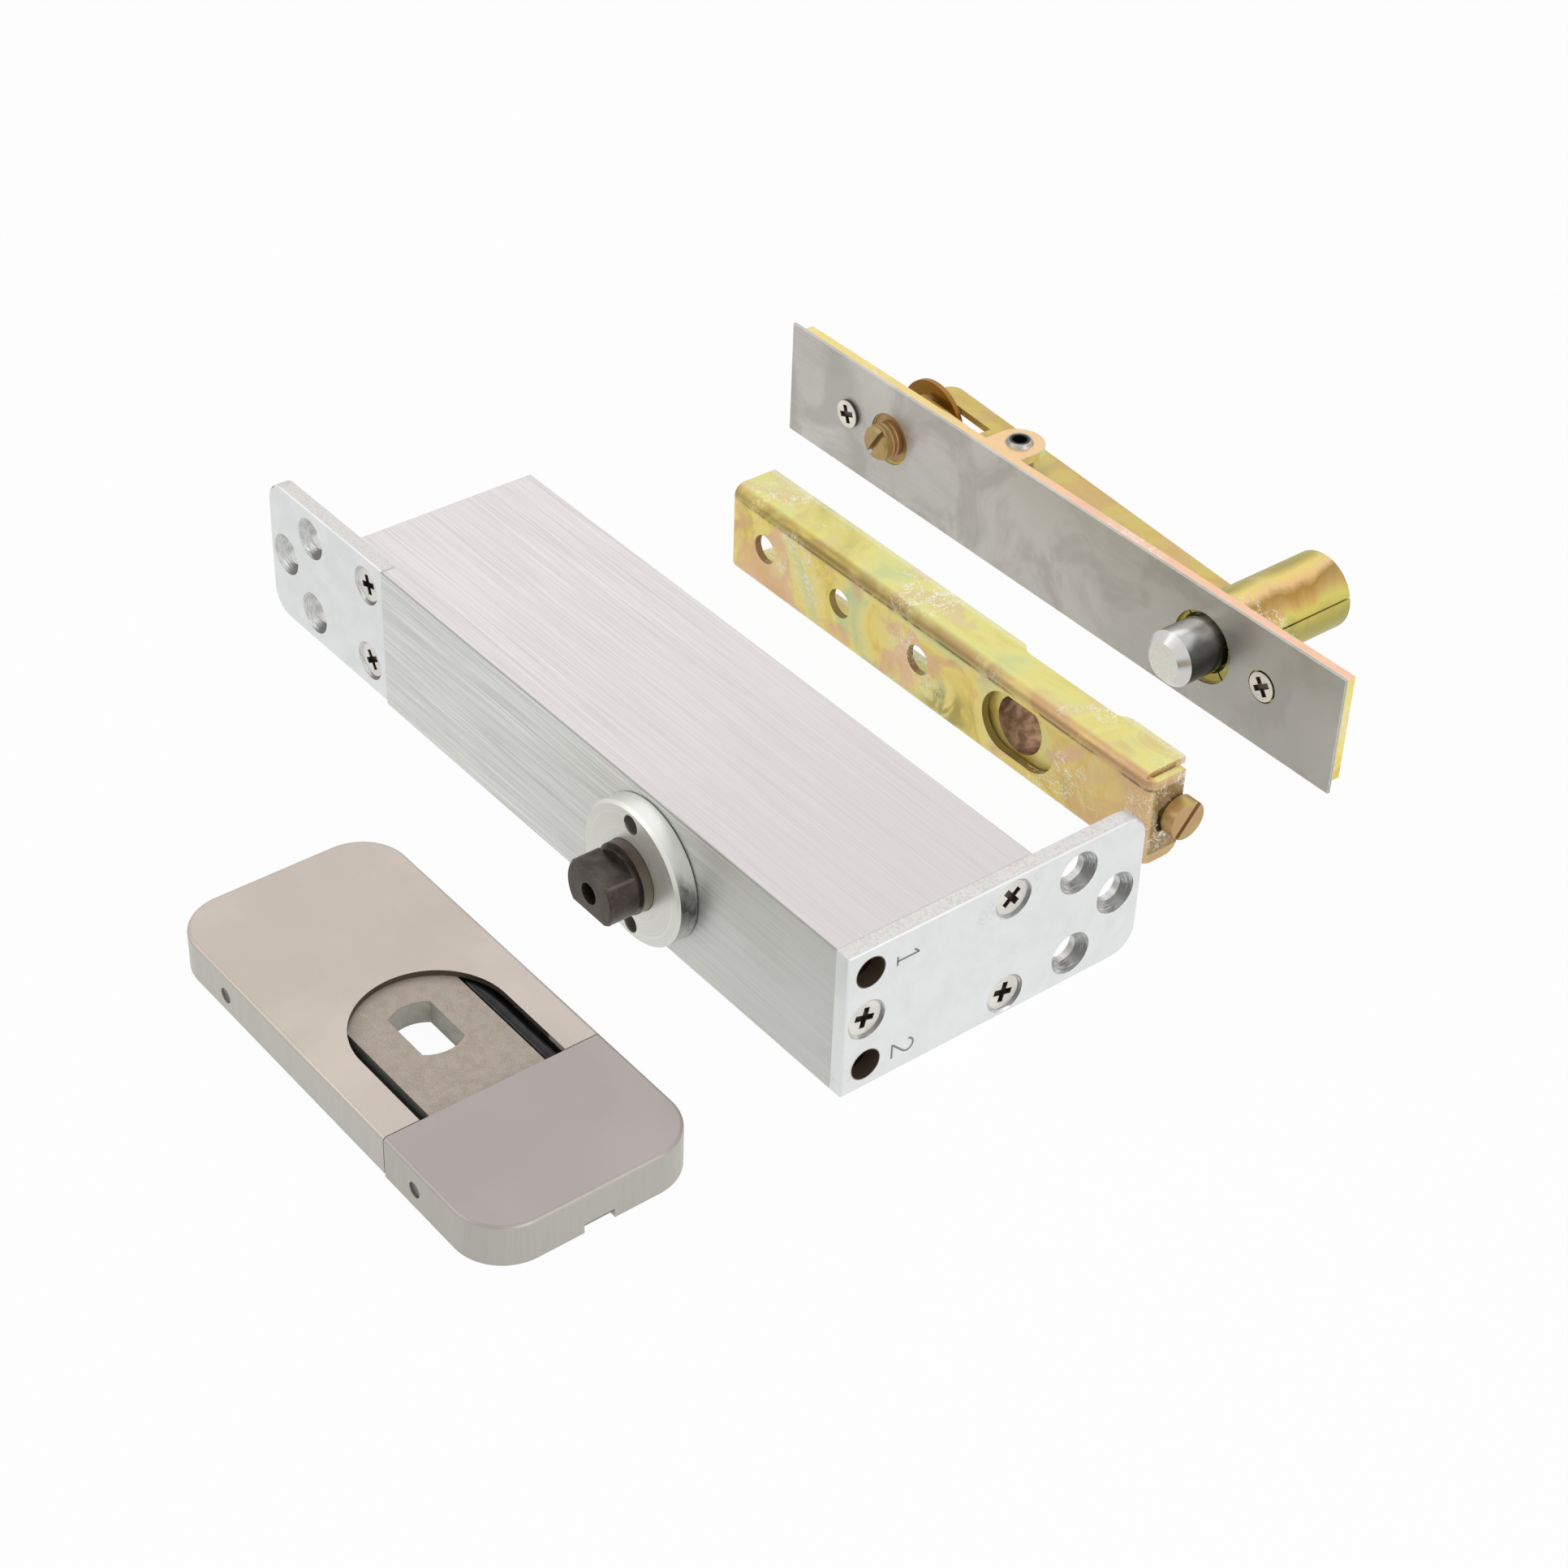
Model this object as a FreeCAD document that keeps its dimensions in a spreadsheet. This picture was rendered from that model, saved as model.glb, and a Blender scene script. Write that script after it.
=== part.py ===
"""Concealed hydraulic door hinge, laid out as its four units on one flat surface.

X runs along the hinge body to its valve end, Y from the spindle side to the back and Z up.
The origin is on the resting surface, below the spindle axis, at the middle of the body's depth.
"""
import FreeCAD
import Part
import Sketcher
import math
import os
import re

# Driving sizes: millimetres, and degrees where the name says angle
SIZES = {
    # Clearances that fits share
    "running_gap": 0.05,
    "seat_gap": 0.03,
    "free_gap": 0.4,
    "cut_past": 1.0,
    # Hydraulic body
    "body_length": 156.1,
    "body_depth": 44.9,
    "body_height": 32.0,
    "spindle_to_right": 53.3,
    "bore_dia": 25.0,
    "bore_end_wall": 9.3,
    "cam_passage_dia": 23.0,
    "end_bevel": 0.25,
    # End plate and strap
    "plate_thick": 3.26,
    "plate_corner": 5.6,
    "plate_round": 0.6,
    "door_hole_dia": 5.6,
    "door_sink_dia": 9.1,
    "edge_overhang": 25.5,
    "edge_pair_reach": 8.95,
    "edge_pair_edge": 6.55,
    "edge_single_reach": 19.0,
    "front_screw_inset": 4.85,
    "rear_screw_inset": 38.0,
    "rear_screw_edge": 4.9,
    "strap_overhang": 30.3,
    "strap_seat": 12.9,
    "strap_lift": 0.4,
    "strap_pair_reach": 14.15,
    "strap_pair_edge": 6.9,
    "strap_single_reach": 24.3,
    "strap_screw_inset": 6.9,
    "strap_screw_edge": 6.85,
    # Countersunk screws of both plates
    "screw_dia": 4.0,
    "screw_hole_dia": 4.4,
    "screw_sink_dia": 8.4,
    "screw_head_dia": 7.2,
    "screw_end": 0.62,
    "recess_reach": 4.4,
    "recess_width": 1.3,
    "recess_depth": 1.1,
    "front_screw_angle": -15.0,
    "low_screw_angle": -15.0,
    "high_screw_angle": 40.0,
    "strap_low_angle": 32.0,
    "strap_high_angle": 17.0,
    # Speed valves
    "valve_inset": 5.23,
    "valve_edge": 5.35,
    "valve_window_dia": 6.3,
    "valve_bore_dia": 6.1,
    "valve_bore_depth": 18.0,
    "valve_sunk": 4.5,
    "valve_length": 13.0,
    "valve_tip_dia": 2.4,
    "valve_tip_length": 3.0,
    "valve_groove_dia": 3.6,
    "valve_groove_width": 1.6,
    "valve_groove_place": 5.5,
    "valve_slot_width": 0.9,
    "valve_slot_depth": 1.2,
    # Bearing cap, bearings and shaft seal
    "cap_flange_dia": 29.4,
    "cap_flange_thick": 4.6,
    "cap_chamfer": 0.6,
    "cap_relief": 0.3,
    "cap_spigot_dia": 25.6,
    "cap_clear": 1.95,
    "cap_lip": 2.6,
    "cap_pocket_dia": 20.0,
    "spanner_hole_dia": 4.0,
    "spanner_hole_spread": 23.0,
    "spanner_hole_depth": 3.0,
    "seal_length": 3.6,
    "seal_clear": 0.4,
    "bearing_clear": 0.5,
    "back_bearing_dia": 17.0,
    "back_wall": 3.45,
    # Spindle and cam
    "journal_dia": 14.4,
    "spindle_reach": 14.0,
    "drive_dia": 14.0,
    "drive_flats": 8.6,
    "drive_length": 6.3,
    "drive_chamfer": 0.5,
    "undercut_dia": 12.4,
    "undercut_length": 1.0,
    "centre_hole_dia": 4.4,
    "centre_hole_depth": 8.0,
    "cam_seat_dia": 11.0,
    "cam_width": 9.0,
    "cam_valley": 7.1,
    "piston_stroke": 4.0,
    "opening_angle": 110.0,
    "cam_spare_angle": 6.0,
    # Piston, follower and check valve
    "roller_dia": 8.0,
    "roller_width": 8.0,
    "roller_pin_dia": 4.0,
    "roller_pin_length": 20.0,
    "piston_left": 28.0,
    "piston_right": 30.0,
    "piston_boss_dia": 14.0,
    "piston_boss_length": 4.0,
    "window_width": 10.2,
    "window_wall": 0.8,
    "ring_groove_dia": 21.0,
    "ring_groove_width": 3.0,
    "ring_groove_inset": 4.0,
    "check_ball_dia": 4.0,
    "check_seat_dia": 2.5,
    "check_bore_depth": 9.0,
    # Closing spring and plug
    "spring_wire": 3.2,
    "spring_dia": 18.0,
    "spring_turns": 7.0,
    "plug_length": 10.8,
    "plug_hex": 10.0,
    "plug_hex_depth": 5.0,
    "plug_groove_dia": 21.0,
    "plug_groove_width": 2.4,
    "plug_groove_place": 6.0,
    # Floor plate
    "floor_row": -74.75,
    "floor_left": 47.1,
    "floor_right": 56.6,
    "floor_width": 45.1,
    "floor_height": 8.9,
    "floor_corner": 10.0,
    "floor_seam": 25.4,
    "seam_gap": 0.2,
    "cover_sheet": 1.2,
    "cover_round": 0.9,
    "main_cover_lift": 0.6,
    "arch_dia": 30.3,
    "arch_place": 6.8,
    "notch_width": 6.3,
    "notch_height": 2.0,
    "base_thick": 2.5,
    "base_gap": 0.15,
    "base_window_length": 26.0,
    "base_window_width": 17.0,
    "lug_length": 11.5,
    "left_lug_reach": 20.0,
    "right_lug_reach": 29.5,
    "floor_hole_dia": 5.0,
    "floor_sink_dia": 9.0,
    "floor_hole_spread": 20.0,
    "left_floor_hole": 38.5,
    "right_floor_hole": 48.0,
    "grub_dia": 3.0,
    "grub_length": 4.0,
    "grub_sunk": 0.3,
    "grub_height": 4.1,
    "left_grub_inset": 6.7,
    "right_grub_inset": 5.25,
    "socket_offset": -0.5,
    "rod_dia": 4.6,
    "rod_height": 4.9,
    "rod_end": 6.0,
    "block_width": 24.1,
    "block_left": 15.0,
    "block_right": 26.0,
    "block_top": 7.6,
    "block_float": 0.1,
    "block_notch_length": 1.05,
    "block_notch_width": 3.2,
    "block_notch_depth": 2.5,
    "drive_play": 0.15,
    "slot_place": 5.1,
    # Channel with the pin's socket
    "channel_row": 65.0,
    "channel_left": 88.05,
    "channel_right": 41.0,
    "channel_height": 21.5,
    "channel_depth": 10.85,
    "channel_sheet": 1.6,
    "channel_bend": 2.5,
    "frame_hole_dia": 6.6,
    "frame_hole_first": 10.75,
    "frame_hole_pitch": 25.2,
    "window_length": 21.2,
    "window_height": 13.8,
    "window_place": 3.7,
    "ledge_left": 7.75,
    "ledge_right": 24.4,
    "ledge_depth": 1.6,
    "ledge_run": 3.6,
    "tab_depth": 8.9,
    "tab_slit": 0.6,
    "tab_drop": 0.95,
    "tab_corner": 3.0,
    "notch_start": 2.6,
    "notch_corner": 1.2,
    "slide_place": 2.3,
    "slide_left": 11.0,
    "slide_right": 19.0,
    "slide_bore": 12.6,
    "slide_tail_left": 5.6,
    "slide_tail_right": 17.6,
    "slide_tail_thick": 1.2,
    "slide_hole_depth": 10.5,
    "adjust_dia": 5.0,
    "adjust_place": 7.5,
    "adjust_tip": 14.5,
    "adjust_head_dia": 8.5,
    "adjust_head_thick": 3.0,
    "adjust_collar_dia": 8.0,
    "adjust_collar_thick": 1.5,
    "adjust_slot_width": 1.2,
    "adjust_slot_depth": 1.4,
    "adjust_slot_angle": 40.0,
    # Top pivot
    "pivot_row": 111.9,
    "face_left": 127.3,
    "face_right": 45.2,
    "face_height": 27.6,
    "face_thick": 0.7,
    "face_hole_height": 14.2,
    "face_pin_hole": 16.2,
    "face_drive_hole": 12.2,
    "face_screw_dia": 4.0,
    "face_screw_head": 6.5,
    "face_screw_proud": 0.9,
    "face_screw_length": 6.5,
    "face_recess_depth": 0.7,
    "left_face_angle": 20.0,
    "right_face_angle": 35.0,
    "face_screw_left": 106.3,
    "face_screw_right": 24.4,
    "backing_left": 123.7,
    "backing_right": 45.2,
    "backing_low": 3.0,
    "backing_top": 27.6,
    "backing_thick": 2.0,
    "pivot_height": 15.0,
    "pin_place": 7.2,
    "pin_dia": 12.4,
    "pin_reach": 11.0,
    "pin_chamfer": 2.0,
    "pin_neck_dia": 11.6,
    "pin_neck_start": 0.5,
    "pin_shoulder": 4.0,
    "pin_tail_dia": 13.3,
    "pin_tail_end": 20.5,
    "tube_dia": 17.2,
    "tube_end": 34.3,
    "stake_width": 0.5,
    "stake_depth": 2.0,
    "stake_angle": 45.0,
    "tube_seam_width": 0.4,
    "tube_seam_angle": 74.0,
    "pin_travel": 11.0,
    "ear_width": 11.2,
    "rivet_place": 58.5,
    "rivet_back": 7.4,
    "rivet_dia": 4.8,
    "rivet_bore": 3.4,
    "rivet_ring_dia": 6.2,
    "rivet_head_dia": 7.0,
    "rivet_head_thick": 0.8,
    "lever_low": 19.4,
    "lever_thick": 1.6,
    "lever_rest_angle": 4.0,
    "lever_left": 36.0,
    "lever_back": 10.0,
    "lever_boss": 4.2,
    "lever_corner": 3.0,
    "fork_depth": 20.0,
    "fork_front": 1.5,
    "fork_back": 4.9,
    "tongue_width": 4.8,
    "tongue_length": 14.0,
    "tongue_past": 2.0,
    "groove_play": 0.7,
    "drive_place": 92.4,
    "drive_height": 14.4,
    "drive_screw_dia": 8.0,
    "drive_screw_reach": 4.3,
    "drive_screw_chamfer": 0.6,
    "drive_neck_dia": 5.0,
    "drive_slot_width": 1.3,
    "drive_slot_depth": 1.6,
    "drive_slot_angle": 32.0,
    "disc_dia": 19.6,
    "disc_thick": 1.2,
    "disc_dish": 0.8,
    "disc_hub_dia": 9.0,
    "disc_rim_inner": 13.0,
    "disc_rivet_dia": 7.2,
    "disc_rivet_thick": 0.9,
    "nut_dia": 11.6,
    "nut_back": 0.7,
}

# Places worked out from the sizes, as formulas
BODY_RIGHT = "spindle_to_right"
BODY_LEFT = "(spindle_to_right - body_length)"
BODY_FRONT = "(-body_depth / 2)"
BODY_BACK = "(body_depth / 2)"
BODY_MIDDLE = "(body_height / 2)"
BORE_END = "(spindle_to_right - bore_end_wall)"
EDGE_FACE = "(spindle_to_right + plate_thick)"
EDGE_END = "(body_depth / 2 + edge_overhang)"
STRAP_LEFT = "(spindle_to_right - body_length - strap_overhang)"
STRAP_RIGHT = "(spindle_to_right - body_length + strap_seat)"
STRAP_MIDDLE = "(body_height / 2 + strap_lift)"
STRAP_TOP = "(body_height + strap_lift)"
SCREW_SUNK = "((screw_sink_dia - screw_head_dia) / 2 - seat_gap)"
SCREW_LENGTH = f"(body_depth / 2 - bore_dia / 2 + screw_end - {SCREW_SUNK})"
CAP_FACE = "(-body_depth / 2 - cap_flange_thick)"
CAP_INNER = "(-bore_dia / 2 - cap_clear)"
CAP_POCKET = "(-body_depth / 2 - cap_flange_thick + cap_lip)"
BACK_SEAT = "(body_depth / 2 - back_wall)"
SPINDLE_END = "(-body_depth / 2 - spindle_reach)"
ROLLER_PLACE = "(cam_valley + roller_dia / 2 + running_gap)"
WINDOW_LEFT = "(cam_valley + roller_dia + running_gap + window_wall)"
WINDOW_RIGHT = "(cam_valley + 2 * piston_stroke + window_wall)"
PISTON_RADIUS = "(bore_dia / 2 - running_gap)"
RING_LEFT = "(piston_right - ring_groove_inset - ring_groove_width)"
RING_RIGHT = "(piston_right - ring_groove_inset)"
PLUG_INNER = "(spindle_to_right - body_length + plug_length)"
PLUG_RING = "(spindle_to_right - body_length + plug_groove_place)"
VALVE_HEAD = "(spindle_to_right - valve_sunk)"
VALVE_LINE = "(-body_depth / 2 + valve_inset)"
FLOOR_HALF = "(floor_width / 2)"
BASE_HALF = "(floor_width / 2 - cover_sheet - base_gap)"
ROD_SPREAD = "(block_width / 2 + running_gap + rod_dia / 2)"
CHANNEL_MIDDLE = "(channel_height / 2)"
FLANGE_END = "(channel_right - channel_sheet - tab_slit)"
LEDGE = "(channel_depth - ledge_depth)"
PLATE_BACK = "(face_thick + backing_thick)"
LEVER_TOP = "(lever_low + lever_thick)"
EAR_LOW = "(backing_top - backing_thick)"
TUBE_BORE = "(pin_tail_dia + 2 * running_gap)"
PIN_ARM = "(rivet_place + pin_place)"
DRIVE_ARM = "(drive_place - rivet_place)"
TONGUE_LINE = "(lever_back - tongue_width / 2)"
FORK_LINE = "((fork_front + fork_back) / 2)"
GROOVE_PLACE = f"(rivet_back - {PIN_ARM} * tan(lever_rest_angle) + {TONGUE_LINE} / cos(lever_rest_angle))"
DISC_PLACE = f"(rivet_back + {DRIVE_ARM} * tan(lever_rest_angle) + {FORK_LINE} / cos(lever_rest_angle))"
HUB_FRONT = f"({DISC_PLACE} + disc_dish - disc_thick / 2)"
HUB_BACK = f"({DISC_PLACE} + disc_dish + disc_thick / 2)"

doc = FreeCAD.newDocument("ConcealedHinge")
sheet = doc.addObject("Spreadsheet::Sheet", "Sizes")
for row, (alias, size) in enumerate(SIZES.items(), start=1):
    sheet.set(f"A{row}", alias)
    sheet.set(f"B{row}", str(size))
    sheet.setAlias(f"B{row}", alias)
doc.recompute()
pieces = []


# Formulas and document helpers
def formula(text):
    """Spell a formula with the sheet's name before each alias."""
    def spell(word):
        name = word.group(0)
        return "Sizes." + name if name in SIZES else name
    return re.sub(r"[a-z][a-z_0-9]*", spell, str(text))


def value(text):
    """The number that a formula gives."""
    return float(sheet.evalExpression(formula(text)))


def place(piece, at):
    """Tie a piece's place to three formulas."""
    for axis, text in zip("xyz", at):
        piece.setExpression(f"Placement.Base.{axis}", formula(text))


def new_body(label, at=("0", "0", "0")):
    """Start a body, which becomes the sub-part of that label."""
    body = doc.addObject("PartDesign::Body", label)
    body.Label = label
    place(body, at)
    pieces.append(body)
    return body


def sketch_on(body, plane, name, level="0"):
    """Start a sketch on an origin plane of the body, moved along its third axis to a level."""
    sketch = body.newObject("Sketcher::SketchObject", name)
    origin = next(part for part in body.Origin.OriginFeatures if part.Role == plane + "_Plane")
    sketch.AttachmentSupport = [(origin, "")]
    sketch.MapMode = "FlatFace"
    facing = "-" if plane == "XZ" else ""
    sketch.setExpression("AttachmentOffset.Base.z", formula(f"{facing}({level})"))
    return sketch


def tie(sketch, kind, geometry, point, text):
    """Tie one coordinate of a sketch point to a formula."""
    index = sketch.addConstraint(Sketcher.Constraint(kind, -1, 1, geometry, point, value(text)))
    sketch.setExpression(f"Constraints[{index}]", formula(text))


def circle(sketch, across, up, diameter):
    """Draw a circle with a tied centre and diameter."""
    centre = FreeCAD.Vector(value(across), value(up), 0)
    number = sketch.addGeometry(Part.Circle(centre, FreeCAD.Vector(0, 0, 1), value(diameter) / 2))
    tie(sketch, "DistanceX", number, 3, across)
    tie(sketch, "DistanceY", number, 3, up)
    index = sketch.addConstraint(Sketcher.Constraint("Diameter", number, value(diameter)))
    sketch.setExpression(f"Constraints[{index}]", formula(diameter))


def arc_between(start, end, centre, turn):
    """An arc from start to end round a centre; turn is 1 for anticlockwise and -1 for clockwise."""
    first, last = (start, end) if turn > 0 else (end, start)
    round_edge = Part.Circle(centre, FreeCAD.Vector(0, 0, 1), (start - centre).Length)
    from_angle = math.atan2(first.y - centre.y, first.x - centre.x)
    to_angle = math.atan2(last.y - centre.y, last.x - centre.x)
    return Part.ArcOfCircle(round_edge, from_angle, to_angle)


def outline(sketch, corners):
    """Draw a closed outline whose corners are tied to formulas.

    A corner is (across, up), and (across, up, (centre across, centre up, turn)) starts an arc.
    """
    points = [FreeCAD.Vector(value(corner[0]), value(corner[1]), 0) for corner in corners]
    runs = []
    for number, corner in enumerate(corners):
        start = points[number]
        end = points[(number + 1) % len(points)]
        if len(corner) == 2:
            runs.append((sketch.addGeometry(Part.LineSegment(start, end)), 1, 2))
            continue
        across, up, turn = corner[2]
        centre = FreeCAD.Vector(value(across), value(up), 0)
        edge = sketch.addGeometry(arc_between(start, end, centre, turn))
        runs.append((edge, 1, 2) if turn > 0 else (edge, 2, 1))
    for (edge, begin, finish), (following, start, stop) in zip(runs, runs[1:] + runs[:1]):
        sketch.addConstraint(Sketcher.Constraint("Coincident", edge, finish, following, start))
    for number, corner in enumerate(corners):
        edge, begin, finish = runs[number]
        tie(sketch, "DistanceX", edge, begin, corner[0])
        tie(sketch, "DistanceY", edge, begin, corner[1])
        if len(corner) == 3:
            chord = points[(number + 1) % len(points)] - points[number]
            if abs(chord.y) > abs(chord.x):
                tie(sketch, "DistanceX", edge, 3, corner[2][0])
            else:
                tie(sketch, "DistanceY", edge, 3, corner[2][1])


def rectangle(sketch, left, right, low, high):
    """Draw a rectangle between four formulas."""
    outline(sketch, [(left, low), (right, low), (right, high), (left, high)])


def long_slot(sketch, left, right, up, diameter):
    """Draw a slot along the first axis with round ends centred at left and right."""
    low = f"({up}) - ({diameter}) / 2"
    high = f"({up}) + ({diameter}) / 2"
    outline(sketch, [
        (left, low),
        (right, low, (right, up, 1)),
        (right, high),
        (left, high, (left, up, 1)),
    ])


def leaning_bar(sketch, angle, start, end, width):
    """Draw a bar along a line through the origin that leans by an angle from the second axis to the first."""
    corners = []
    for along, side in ((end, 1), (end, -1), (start, -1), (start, 1)):
        aside = f"{side} * ({width}) / 2"
        across = f"({along}) * sin({angle}) + {aside} * cos({angle})"
        up = f"({along}) * cos({angle}) - {aside} * sin({angle})"
        corners.append((across, up))
    outline(sketch, corners)


def feature(body, kind, sketch, length, backwards=False):
    """Pad or pocket a sketch by a length."""
    doc.recompute()
    step = body.newObject("PartDesign::" + kind, kind.lower())
    step.Profile = sketch
    step.setExpression("Length", formula(length))
    step.Reversed = backwards
    doc.recompute()
    return step


def pad(body, sketch, length):
    """Add a sketch's prism along its normal."""
    return feature(body, "Pad", sketch, length)


def pocket(body, sketch, depth, backwards=False):
    """Cut a sketch's prism against its normal, or along it if backwards, and see that it cut."""
    before = body.Shape.Volume
    step = feature(body, "Pocket", sketch, depth, backwards)
    if step.Shape.Volume > before - 1e-6:
        raise RuntimeError(f"{sketch.Label} cut nothing from {body.Label}")
    return step


def straight_edges(body, axis, spots):
    """Names of the straight edges along an axis that pass the given spots of the other two axes."""
    others = [index for index in range(3) if index != "XYZ".index(axis)]
    wanted = [(value(first), value(second)) for first, second in spots]
    names = []
    for number, edge in enumerate(body.Tip.Shape.Edges, start=1):
        if not isinstance(edge.Curve, Part.Line):
            continue
        ends = [vertex.Point for vertex in edge.Vertexes]
        spot = (ends[0][others[0]], ends[0][others[1]])
        same = all(abs(ends[0][index] - ends[1][index]) < 1e-6 for index in others)
        if same and any(math.dist(spot, aim) < 1e-4 for aim in wanted):
            names.append(f"Edge{number}")
    return names


def hole_edges(body, axis, level, diameter):
    """Names of the full circles of one diameter in the plane at a level of an axis."""
    index = "XYZ".index(axis)
    names = []
    for number, edge in enumerate(body.Tip.Shape.Edges, start=1):
        if not isinstance(edge.Curve, Part.Circle) or not edge.isClosed():
            continue
        in_plane = abs(edge.Curve.Center[index] - value(level)) < 1e-4
        if in_plane and abs(edge.Curve.Radius - value(diameter) / 2) < 1e-4:
            names.append(f"Edge{number}")
    return names


def rim_edges(body, axis, level, corner, apart=None):
    """Names of the straight runs and corner arcs that bound a face at a level of an axis.

    Edges that lie wholly at the place apart, an axis and a level, are left sharp.
    """
    index = "XYZ".index(axis)
    names = []
    for number, edge in enumerate(body.Tip.Shape.Edges, start=1):
        ends = [vertex.Point for vertex in edge.Vertexes]
        if any(abs(point[index] - value(level)) > 1e-4 for point in ends) or len(ends) < 2:
            continue
        if apart and all(abs(point["XYZ".index(apart[0])] - value(apart[1])) < 1e-4 for point in ends):
            continue
        straight = isinstance(edge.Curve, Part.Line)
        if straight or abs(edge.Curve.Radius - value(corner)) < 1e-4:
            names.append(f"Edge{number}")
    return names


def dress(body, kind, names, size):
    """Round or bevel named edges of the body's last feature."""
    if not names:
        raise RuntimeError(f"no edges found for {kind} on {body.Label}")
    step = body.newObject("PartDesign::" + kind, kind.lower())
    step.Base = (body.Tip if body.Tip != step else step.BaseFeature, names)
    step.setExpression("Radius" if kind == "Fillet" else "Size", formula(size))
    doc.recompute()
    return step


def fillet(body, names, radius):
    """Round named edges."""
    return dress(body, "Fillet", names, radius)


def chamfer(body, names, size):
    """Bevel named edges."""
    return dress(body, "Chamfer", names, size)


def turned(label, axis, profile, at):
    """A turned piece: a half profile of (along, radius) corners spun round its axis."""
    body = new_body(label, at)
    if axis == "X":
        sketch = sketch_on(body, "XY", "profile")
        outline(sketch, profile)
        spin = "H_Axis"
    else:
        sketch = sketch_on(body, "XY" if axis == "Y" else "XZ", "profile")
        outline(sketch, [(radius, along) for along, radius in profile])
        spin = "V_Axis"
    doc.recompute()
    step = body.newObject("PartDesign::Revolution", "revolution")
    step.Profile = sketch
    step.ReferenceAxis = (sketch, [spin])
    step.Angle = 360
    doc.recompute()
    return body


def ring(label, axis, start, end, outer, inner, at):
    """A plain turned ring between two places on its axis."""
    profile = [
        (start, f"({inner}) / 2"),
        (end, f"({inner}) / 2"),
        (end, f"({outer}) / 2"),
        (start, f"({outer}) / 2"),
    ]
    return turned(label, axis, profile, at)


def cut_cross(body, plane, angle, depth):
    """Cut a cross recess, turned by an angle, into a screw head whose top is at the body's own origin."""
    sketch = sketch_on(body, plane, "cross_recess")
    arm = "recess_reach / 2"
    half = "recess_width / 2"
    corners = []
    for quarter in range(4):
        turn = f"({angle} + {90 * quarter})"
        for along, aside in ((arm, f"-{half}"), (arm, half), (half, half)):
            across = f"{along} * cos{turn} - ({aside}) * sin{turn}"
            up = f"{along} * sin{turn} + ({aside}) * cos{turn}"
            corners.append((across, up))
    outline(sketch, corners)
    pocket(body, sketch, depth)


def countersunk_screw(label, axis, at, angle):
    """A countersunk screw: along X it points to -X, along Y to +Y, with its head top at the origin."""
    way = "-1" if axis == "X" else "1"
    cone = f"{way} * (screw_head_dia - screw_dia) / 2"
    tip = f"{way} * {SCREW_LENGTH}"
    shank = "screw_dia / 2"
    profile = [("0", "0"), ("0", "screw_head_dia / 2"), (cone, shank), (tip, shank), (tip, "0")]
    body = turned(label, axis, profile, at)
    cut_cross(body, "YZ" if axis == "X" else "XZ", angle, "recess_depth")


# Places of screws and holes on the hydraulic body
EDGE_SCREWS = [
    (f"{BODY_FRONT} + front_screw_inset", BODY_MIDDLE),
    (f"{BODY_FRONT} + rear_screw_inset", "rear_screw_edge"),
    (f"{BODY_FRONT} + rear_screw_inset", "body_height - rear_screw_edge"),
]
EDGE_HOLES = [
    (f"{BODY_BACK} + edge_pair_reach", "edge_pair_edge"),
    (f"{BODY_BACK} + edge_pair_reach", "body_height - edge_pair_edge"),
    (f"{BODY_BACK} + edge_single_reach", BODY_MIDDLE),
]
STRAP_SCREWS = [
    (f"{BODY_LEFT} + strap_screw_inset", "strap_lift + strap_screw_edge"),
    (f"{BODY_LEFT} + strap_screw_inset", f"{STRAP_TOP} - strap_screw_edge"),
]
EDGE_SCREW_ANGLES = ["front_screw_angle", "low_screw_angle", "high_screw_angle"]
STRAP_SCREW_ANGLES = ["strap_low_angle", "strap_high_angle"]
STRAP_HOLES = [
    (f"{BODY_LEFT} - strap_pair_reach", "strap_lift + strap_pair_edge"),
    (f"{BODY_LEFT} - strap_pair_reach", f"{STRAP_TOP} - strap_pair_edge"),
    (f"{BODY_LEFT} - strap_single_reach", STRAP_MIDDLE),
]
VALVES = [
    (VALVE_LINE, "body_height - valve_edge"),
    (VALVE_LINE, "valve_edge"),
]
SPINDLE_AXIS = ("0", "0", BODY_MIDDLE)


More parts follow.
